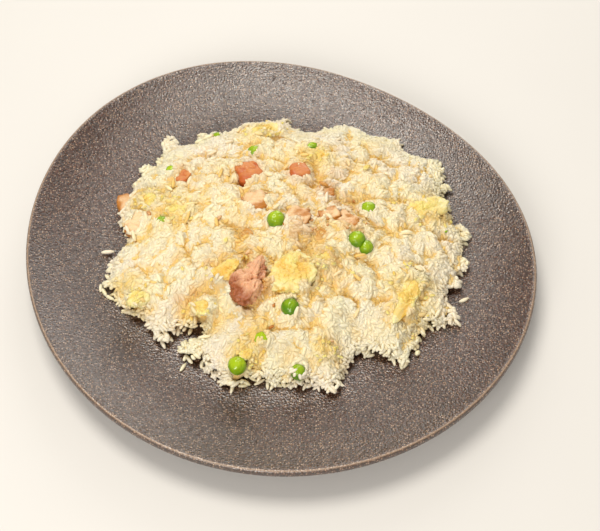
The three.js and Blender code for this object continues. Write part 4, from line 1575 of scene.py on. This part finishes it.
@cache
def pea_finish():
    """Garden peas: bright yellow-green, lighter in cloudy patches, painted lighter towards the top
    and darker below as painted light and shade, with a fine wrinkled skin.
    """
    plan = bpy.context.scene.rice_plate
    finish = Finish(
        "garden_pea",
        Subsurface_Weight=0.12,
        Subsurface_Radius=(0.6, 1.0, 0.2),
        Subsurface_Scale=0.0015,
        Specular_IOR_Level=0.6,
    )
    tree = finish.tree
    cloud = finish.cloud(plan.pea_colour, plan.pea_pale_and_lit_colour, 300.0, 0.2)["Mask"]
    # Painted light and shade: the top of each pea is painted lighter, its lower side darker.
    lit = spread_out(tree, attribute(tree, "top"), 0.6, 1.05)
    share = calc(tree, "ADD", calc(tree, "MULTIPLY", cloud, 0.45), lit)
    share = calc(tree, "MULTIPLY", share, 0.75)
    tone = calc(tree, "SUBTRACT", attribute(tree, "tone"), USUAL_TONE)
    share = calc(tree, "ADD", share, tone, True)
    finish.feed("Base Color", mixed(tree, share, plan.pea_colour, plan.pea_pale_and_lit_colour))
    finish.dampen(0.1, 0.22)
    finish.roughen(700.0, 0.0002, pits=0.2)
    return finish.material


def meat_finish(name, pale, browned, cut_at):
    """Meat: pale on the cut top and darker on its seared side and down its other sides, partly seared
    and partly painted shade, and darker in its hollows as painted shade, with short fibres and damp
    patches. cut_at is the share of the height where the darkening begins."""
    finish = Finish(
        name,
        Subsurface_Weight=0.35,
        Subsurface_Radius=(1.0, 0.75, 0.5),
        Subsurface_Scale=0.0018,
    )
    tree = finish.tree
    cloud = finish.cloud(pale, browned, 330.0, 0.3)["Mask"]
    numbers = {label: attribute(tree, label) for label in ("top", "crest", "browned", "tone")}
    share = finish.group(browning_and_shade(), patches=cloud, cut_at=cut_at, **numbers)["Mask"]
    finish.feed("Base Color", mixed(tree, share, pale, browned))
    finish.dampen(0.28, 0.55)
    stretch = {"Vector": finish.place, "Scale": (0.35, 1.0, 1.0)}
    fibres = add_node(tree, "ShaderNodeMapping", stretch).outputs["Vector"]
    waves = add_node(tree, "ShaderNodeTexNoise", {"Vector": fibres, "Scale": 1300.0})
    finish.relief(waves.outputs["Fac"], 0.0005, 0.7)
    return finish.material


@cache
def ham_finish():
    """Diced ham: pink-orange, a little darker down its sides and in its hollows, partly painted
    shade.
    """
    plan = bpy.context.scene.rice_plate
    return meat_finish("diced_ham", plan.ham_colour, plan.ham_side_colour, 0.72)


@cache
def pork_finish():
    """Diced roast pork: a pale cut top over tan sides, partly seared crust and partly painted shade.
    """
    plan = bpy.context.scene.rice_plate
    return meat_finish("diced_pork", plan.pork_colour, plan.pork_side_colour, 0.74)


@cache
def shred_finish():
    """A torn shred of roast pork: rosy brown, painted darker in its pits and grooves as painted
    shade.
    """
    plan = bpy.context.scene.rice_plate
    return meat_finish("torn_pork", plan.shred_colour, plan.shred_dark_colour, 0.22)


@cache
def egg_finish():
    """Scrambled egg: bright pale yellow on the backs of the curds, painted golden in the creases as
    painted shade, and golden in cloudy patches.
    """
    plan = bpy.context.scene.rice_plate
    finish = Finish(
        "scrambled_egg",
        Subsurface_Weight=0.45,
        Subsurface_Radius=(0.9, 0.85, 0.35),
        Subsurface_Scale=0.0026,
    )
    tree = finish.tree
    cloud = finish.cloud(plan.egg_colour, plan.egg_golden_and_shade_colour, 150.0, 0.7)["Mask"]
    # Painted shade: the hollows of the curds are painted golden.
    crease = spread_out(tree, attribute(tree, "crest"), 0.5, 0.1)
    crease = calc(tree, "MULTIPLY", crease, 0.6)
    share = calc(tree, "ADD", crease, calc(tree, "MULTIPLY", cloud, 0.7))
    tone = calc(tree, "SUBTRACT", attribute(tree, "tone"), USUAL_TONE)
    share = calc(tree, "ADD", share, calc(tree, "MULTIPLY", tone, 0.8), True)
    colour = mixed(tree, share, plan.egg_colour, plan.egg_golden_and_shade_colour)
    torn_edge = spread_out(tree, attribute(tree, "top"), 0.85, 0.6)
    torn_edge = calc(tree, "MULTIPLY", torn_edge, calc(tree, "SUBTRACT", 1.0, share, True))
    finish.feed("Base Color", mixed(tree, torn_edge, colour, plan.egg_pale_colour))
    finish.dampen(0.25, 0.5)
    finish.roughen(900.0, 0.0003)
    return finish.material


@cache
def floor_finish():
    """A plain pale table top with a hardly visible drift of tone."""
    plan = bpy.context.scene.rice_plate
    finish = Finish("pale_table", Roughness=0.7)
    darker = (*[0.97 * part for part in plan.floor_colour[:3]], 1.0)
    finish.feed("Base Color", finish.cloud(plan.floor_colour, darker, 3.0, 0.0)["Colour"])
    return finish.material


# -------------------------------------------------------------------------------------- the stage


def build_stage():
    """A pale floor, a soft overhead key, a weak fill, a low light behind, an even sky, and the
    camera."""
    plan = bpy.context.scene.rice_plate
    scene = bpy.context.scene
    scene.view_settings.view_transform = "Standard"
    mesh = bpy.data.meshes.new("floor")
    corners = [(x * FLOOR_HALF, y * FLOOR_HALF, 0) for x, y in ((-1, -1), (1, -1), (1, 1), (-1, 1))]
    mesh.from_pydata(corners, [], [(0, 1, 2, 3)])
    mesh.materials.append(floor_finish())
    floor = bpy.data.objects.new("floor", mesh)
    scene.collection.objects.link(floor)
    world = bpy.data.worlds.new("soft_sky")
    world.use_nodes = True
    sky = world.node_tree.nodes["Background"]
    sky.inputs["Color"].default_value = SKY_TINT
    sky.inputs["Strength"].default_value = plan.sky_strength
    scene.world = world
    for name, place, size, tint in LIGHTS:
        light = bpy.data.lights.new(name, "AREA")
        light.shape, light.size, light.color = "DISK", size, tint
        light.energy = getattr(plan, f"{name}_power")
        lamp = bpy.data.objects.new(name, light)
        lamp.location = place
        aim = -lamp.location
        lamp.rotation_euler = aim.to_track_quat("-Z", "Y").to_euler()
        scene.collection.objects.link(lamp)
    lens = bpy.data.cameras.new("camera")
    lens.lens, lens.sensor_width = CAMERA_LENS, CAMERA_SENSOR
    lens.clip_start, lens.clip_end = 0.01, 20.0
    camera = bpy.data.objects.new("camera", lens)
    camera.location = CAMERA_PLACE
    camera.rotation_euler = (math.radians(CAMERA_TILT), 0.0, 0.0)
    scene.collection.objects.link(camera)
    scene.camera = camera


# -------------------------------------------------------------------- settings, operators and panel


def size_setting(name, description, default):
    """A size that a user may change, in metres."""
    return FloatProperty(name=name, description=description, default=default, unit="LENGTH")


def colour_setting(name, description, default):
    """A colour that a user may change."""
    return FloatVectorProperty(
        name=name, description=description, default=default, size=4, subtype="COLOR"
    )


class RicePlatePlan(bpy.types.PropertyGroup):
    """The sizes, colours and lights of the dish."""

    plate_radius: size_setting("Plate radius", "Mean radius of the plate's outline", 0.129)
    rim_height: size_setting("Rim height", "Top of the rim above the table", 0.020)
    floor_height: size_setting("Floor height", "Top of the plate's flat middle", 0.007)
    grain_length: size_setting("Grain length", "Length of a cooked grain", 0.0059)
    grain_width: size_setting("Grain width", "Width of a cooked grain", 0.00215)
    relief: size_setting("Relief", "Height of the clumps on the heap's top", 0.0041)
    gap: size_setting("Gap", "A lower spot than this under the surface still gets a grain", 0.00042)
    edge_height: size_setting(
        "Edge height", "How high the heap stands just inside its outline", 0.0052
    )
    rim_inset: size_setting(
        "Rim inset", "How far inside the outline a grain's middle stays", 0.0014
    )
    collar: size_setting("Collar", "How far rice climbs up the sides of the pieces in it", 0.003)
    core_depth: size_setting(
        "Core depth", "How deep the packed core lies under the grains' backs", 0.0003
    )
    core_inset: size_setting(
        "Core inset", "How far the core stays inside the heap's outline", 0.003
    )
    rounds: IntProperty(name="Rounds", description="Rounds of pouring", default=12)
    strays: IntProperty(name="Strays", description="Grains that lie loose on the heap", default=30)
    tries: IntProperty(name="Tries", description="Grains tried in a round", default=6000)
    clay_colour: colour_setting("Clay", "Body of the stoneware", paint(72, 40, 21))
    clay_red_colour: colour_setting("Red clay", "Where the clay drifts to red", paint(86, 44, 25))
    # Pale flecks, partly painted glints, and the painted highlight along the rim.
    fleck_and_glint_colour: colour_setting("Fleck", "Pale flecks", paint(202, 172, 144))
    pit_colour: colour_setting("Pit", "Dark pits", paint(36, 22, 14))
    rice_warm_colour: colour_setting("Warm rice", "The warmest grains", paint(250, 234, 192))
    rice_rosy_colour: colour_setting(
        "Rosy rice", "Pale rice with a rosy tint", paint(244, 232, 215)
    )
    rice_green_colour: colour_setting("Greenish rice", "Pale rice, greenish", paint(243, 237, 206))
    rice_yellow_colour: colour_setting("Yellow rice", "Grains by the egg", paint(242, 214, 138))
    rice_brown_colour: colour_setting("Brown rice", "Grains in sauce", paint(202, 146, 72))
    # Painted shade: the warm tan of rice in the creases between clumps and on the grains' lower
    # sides.
    crease_shade_colour: colour_setting("Packed rice", "Deep in the heap", paint(236, 200, 122))
    pea_colour: colour_setting("Pea", "Skin of the peas", paint(84, 132, 0))
    # Pale patches of the peas, and their tops painted lighter as painted light.
    pea_pale_and_lit_colour: colour_setting("Light pea", "Pale patches of the peas", paint(164, 192, 10))
    # The meat's side and dark colours: seared crust, and painted shade down the sides and in the
    # hollows.
    ham_colour: colour_setting("Ham", "Cut face of the ham", paint(208, 134, 70))
    ham_side_colour: colour_setting("Ham side", "Side of the ham", paint(190, 96, 38))
    pork_colour: colour_setting("Pork", "Cut face of the pork", paint(236, 202, 156))
    pork_side_colour: colour_setting("Pork side", "Side of the pork", paint(188, 122, 48))
    shred_colour: colour_setting("Torn pork", "Backs of the fibres", paint(228, 176, 136))
    shred_dark_colour: colour_setting("Torn pork, dark", "Between the fibres", paint(160, 88, 46))
    egg_colour: colour_setting("Egg", "Backs of the curds", paint(230, 213, 130))
    # Golden patches of the egg, and the painted shade in the creases of the curds.
    egg_golden_and_shade_colour: colour_setting("Golden egg", "Creases of the curds", paint(226, 182, 78))
    egg_pale_colour: colour_setting("Pale egg", "Torn edges of the egg", paint(238, 226, 166))
    floor_colour: colour_setting("Floor", "The table", paint(226, 224, 220))
    key_power: FloatProperty(name="Key", description="Key light", default=6.1, unit="POWER")
    fill_power: FloatProperty(name="Fill", description="Fill light", default=6.7, unit="POWER")
    back_power: FloatProperty(name="Back", description="Light behind", default=4.0, unit="POWER")
    sky_strength: FloatProperty(name="Sky", description="Even light from all round", default=0.395)


@cache
def heap_maps():
    """The maps of the heap, worked out once and shared by the operators."""
    heap = read_heap()
    heap["grains"] = pour_grains(heap)
    return heap


class RICE_OT_stage(bpy.types.Operator):
    """Sets the floor, the lights and the camera"""

    bl_idname = "rice_plate.stage"
    bl_label = "Set the stage"

    def execute(self, context):
        build_stage()
        return {"FINISHED"}


class RICE_OT_plate(bpy.types.Operator):
    """Makes the stoneware plate"""

    bl_idname = "rice_plate.plate"
    bl_label = "Make the plate"

    def execute(self, context):
        build_plate()
        return {"FINISHED"}


class RICE_OT_core(bpy.types.Operator):
    """Packs the middle of the heap"""

    bl_idname = "rice_plate.core"
    bl_label = "Pack the core"

    def execute(self, context):
        build_core(heap_maps())
        return {"FINISHED"}


class RICE_OT_grains(bpy.types.Operator):
    """Pours the grains of rice over the core"""

    bl_idname = "rice_plate.grains"
    bl_label = "Pour the grains"

    def execute(self, context):
        build_grains(heap_maps())
        return {"FINISHED"}


class RICE_OT_dropped(bpy.types.Operator):
    """Drops the rice beside the heap"""

    bl_idname = "rice_plate.dropped"
    bl_label = "Drop the loose rice"

    def execute(self, context):
        build_dropped(heap_maps())
        return {"FINISHED"}


class RICE_OT_scraps(bpy.types.Operator):
    """Scatters the torn bits of egg, meat and pea skin"""

    bl_idname = "rice_plate.scraps"
    bl_label = "Scatter the scraps"

    def execute(self, context):
        build_scraps(heap_maps())
        return {"FINISHED"}


class RICE_OT_peas(bpy.types.Operator):
    """Sets the garden peas in the rice"""

    bl_idname = "rice_plate.peas"
    bl_label = "Add the peas"

    def execute(self, context):
        for name in node_names("pea"):
            add_lump(name, f"{name}_skin", pea_finish())
        return {"FINISHED"}


class RICE_OT_ham(bpy.types.Operator):
    """Sets the diced ham in the rice"""

    bl_idname = "rice_plate.ham"
    bl_label = "Add the ham"

    def execute(self, context):
        for name in node_names("ham"):
            add_lump(name, f"{name}_dice", ham_finish())
        return {"FINISHED"}


class RICE_OT_pork(bpy.types.Operator):
    """Sets the diced pork and the torn shred in the rice"""

    bl_idname = "rice_plate.pork"
    bl_label = "Add the pork"

    def execute(self, context):
        for name in node_names("pork"):
            if name == "pork_5":
                add_lump(name, "pork_5_shred", shred_finish())
            else:
                add_lump(name, f"{name}_dice", pork_finish())
        return {"FINISHED"}


class RICE_OT_egg(bpy.types.Operator):
    """Sets the torn egg in the rice"""

    bl_idname = "rice_plate.egg"
    bl_label = "Add the egg"

    def execute(self, context):
        for name in node_names("egg"):
            add_lump(name, f"{name}_curd", egg_finish())
        return {"FINISHED"}


class RICE_PT_panel(bpy.types.Panel):
    """Lists the steps and the sizes of the dish"""

    bl_idname = "RICE_PT_panel"
    bl_label = "Fried rice plate"
    bl_space_type = "VIEW_3D"
    bl_region_type = "UI"
    bl_category = "Rice"

    def draw(self, context):
        plan = context.scene.rice_plate
        for operator in OPERATORS:
            self.layout.operator(operator.bl_idname)
        for name in RicePlatePlan.__annotations__:
            self.layout.prop(plan, name)


OPERATORS = (
    RICE_OT_stage,
    RICE_OT_plate,
    RICE_OT_core,
    RICE_OT_grains,
    RICE_OT_dropped,
    RICE_OT_scraps,
    RICE_OT_peas,
    RICE_OT_ham,
    RICE_OT_pork,
    RICE_OT_egg,
)
CLASSES = (RicePlatePlan, *OPERATORS, RICE_PT_panel)


def register():
    for cls in CLASSES:
        bpy.utils.register_class(cls)
    bpy.types.Scene.rice_plate = PointerProperty(type=RicePlatePlan)


def unregister():
    del bpy.types.Scene.rice_plate
    for cls in reversed(CLASSES):
        bpy.utils.unregister_class(cls)


def main():
    """Registers the classes and makes every piece in order."""
    register()
    bpy.ops.rice_plate.stage()
    bpy.ops.rice_plate.plate()
    bpy.ops.rice_plate.grains()
    bpy.ops.rice_plate.core()
    bpy.ops.rice_plate.dropped()
    bpy.ops.rice_plate.scraps()
    bpy.ops.rice_plate.peas()
    bpy.ops.rice_plate.ham()
    bpy.ops.rice_plate.pork()
    bpy.ops.rice_plate.egg()


if __name__ == "__main__":
    main()
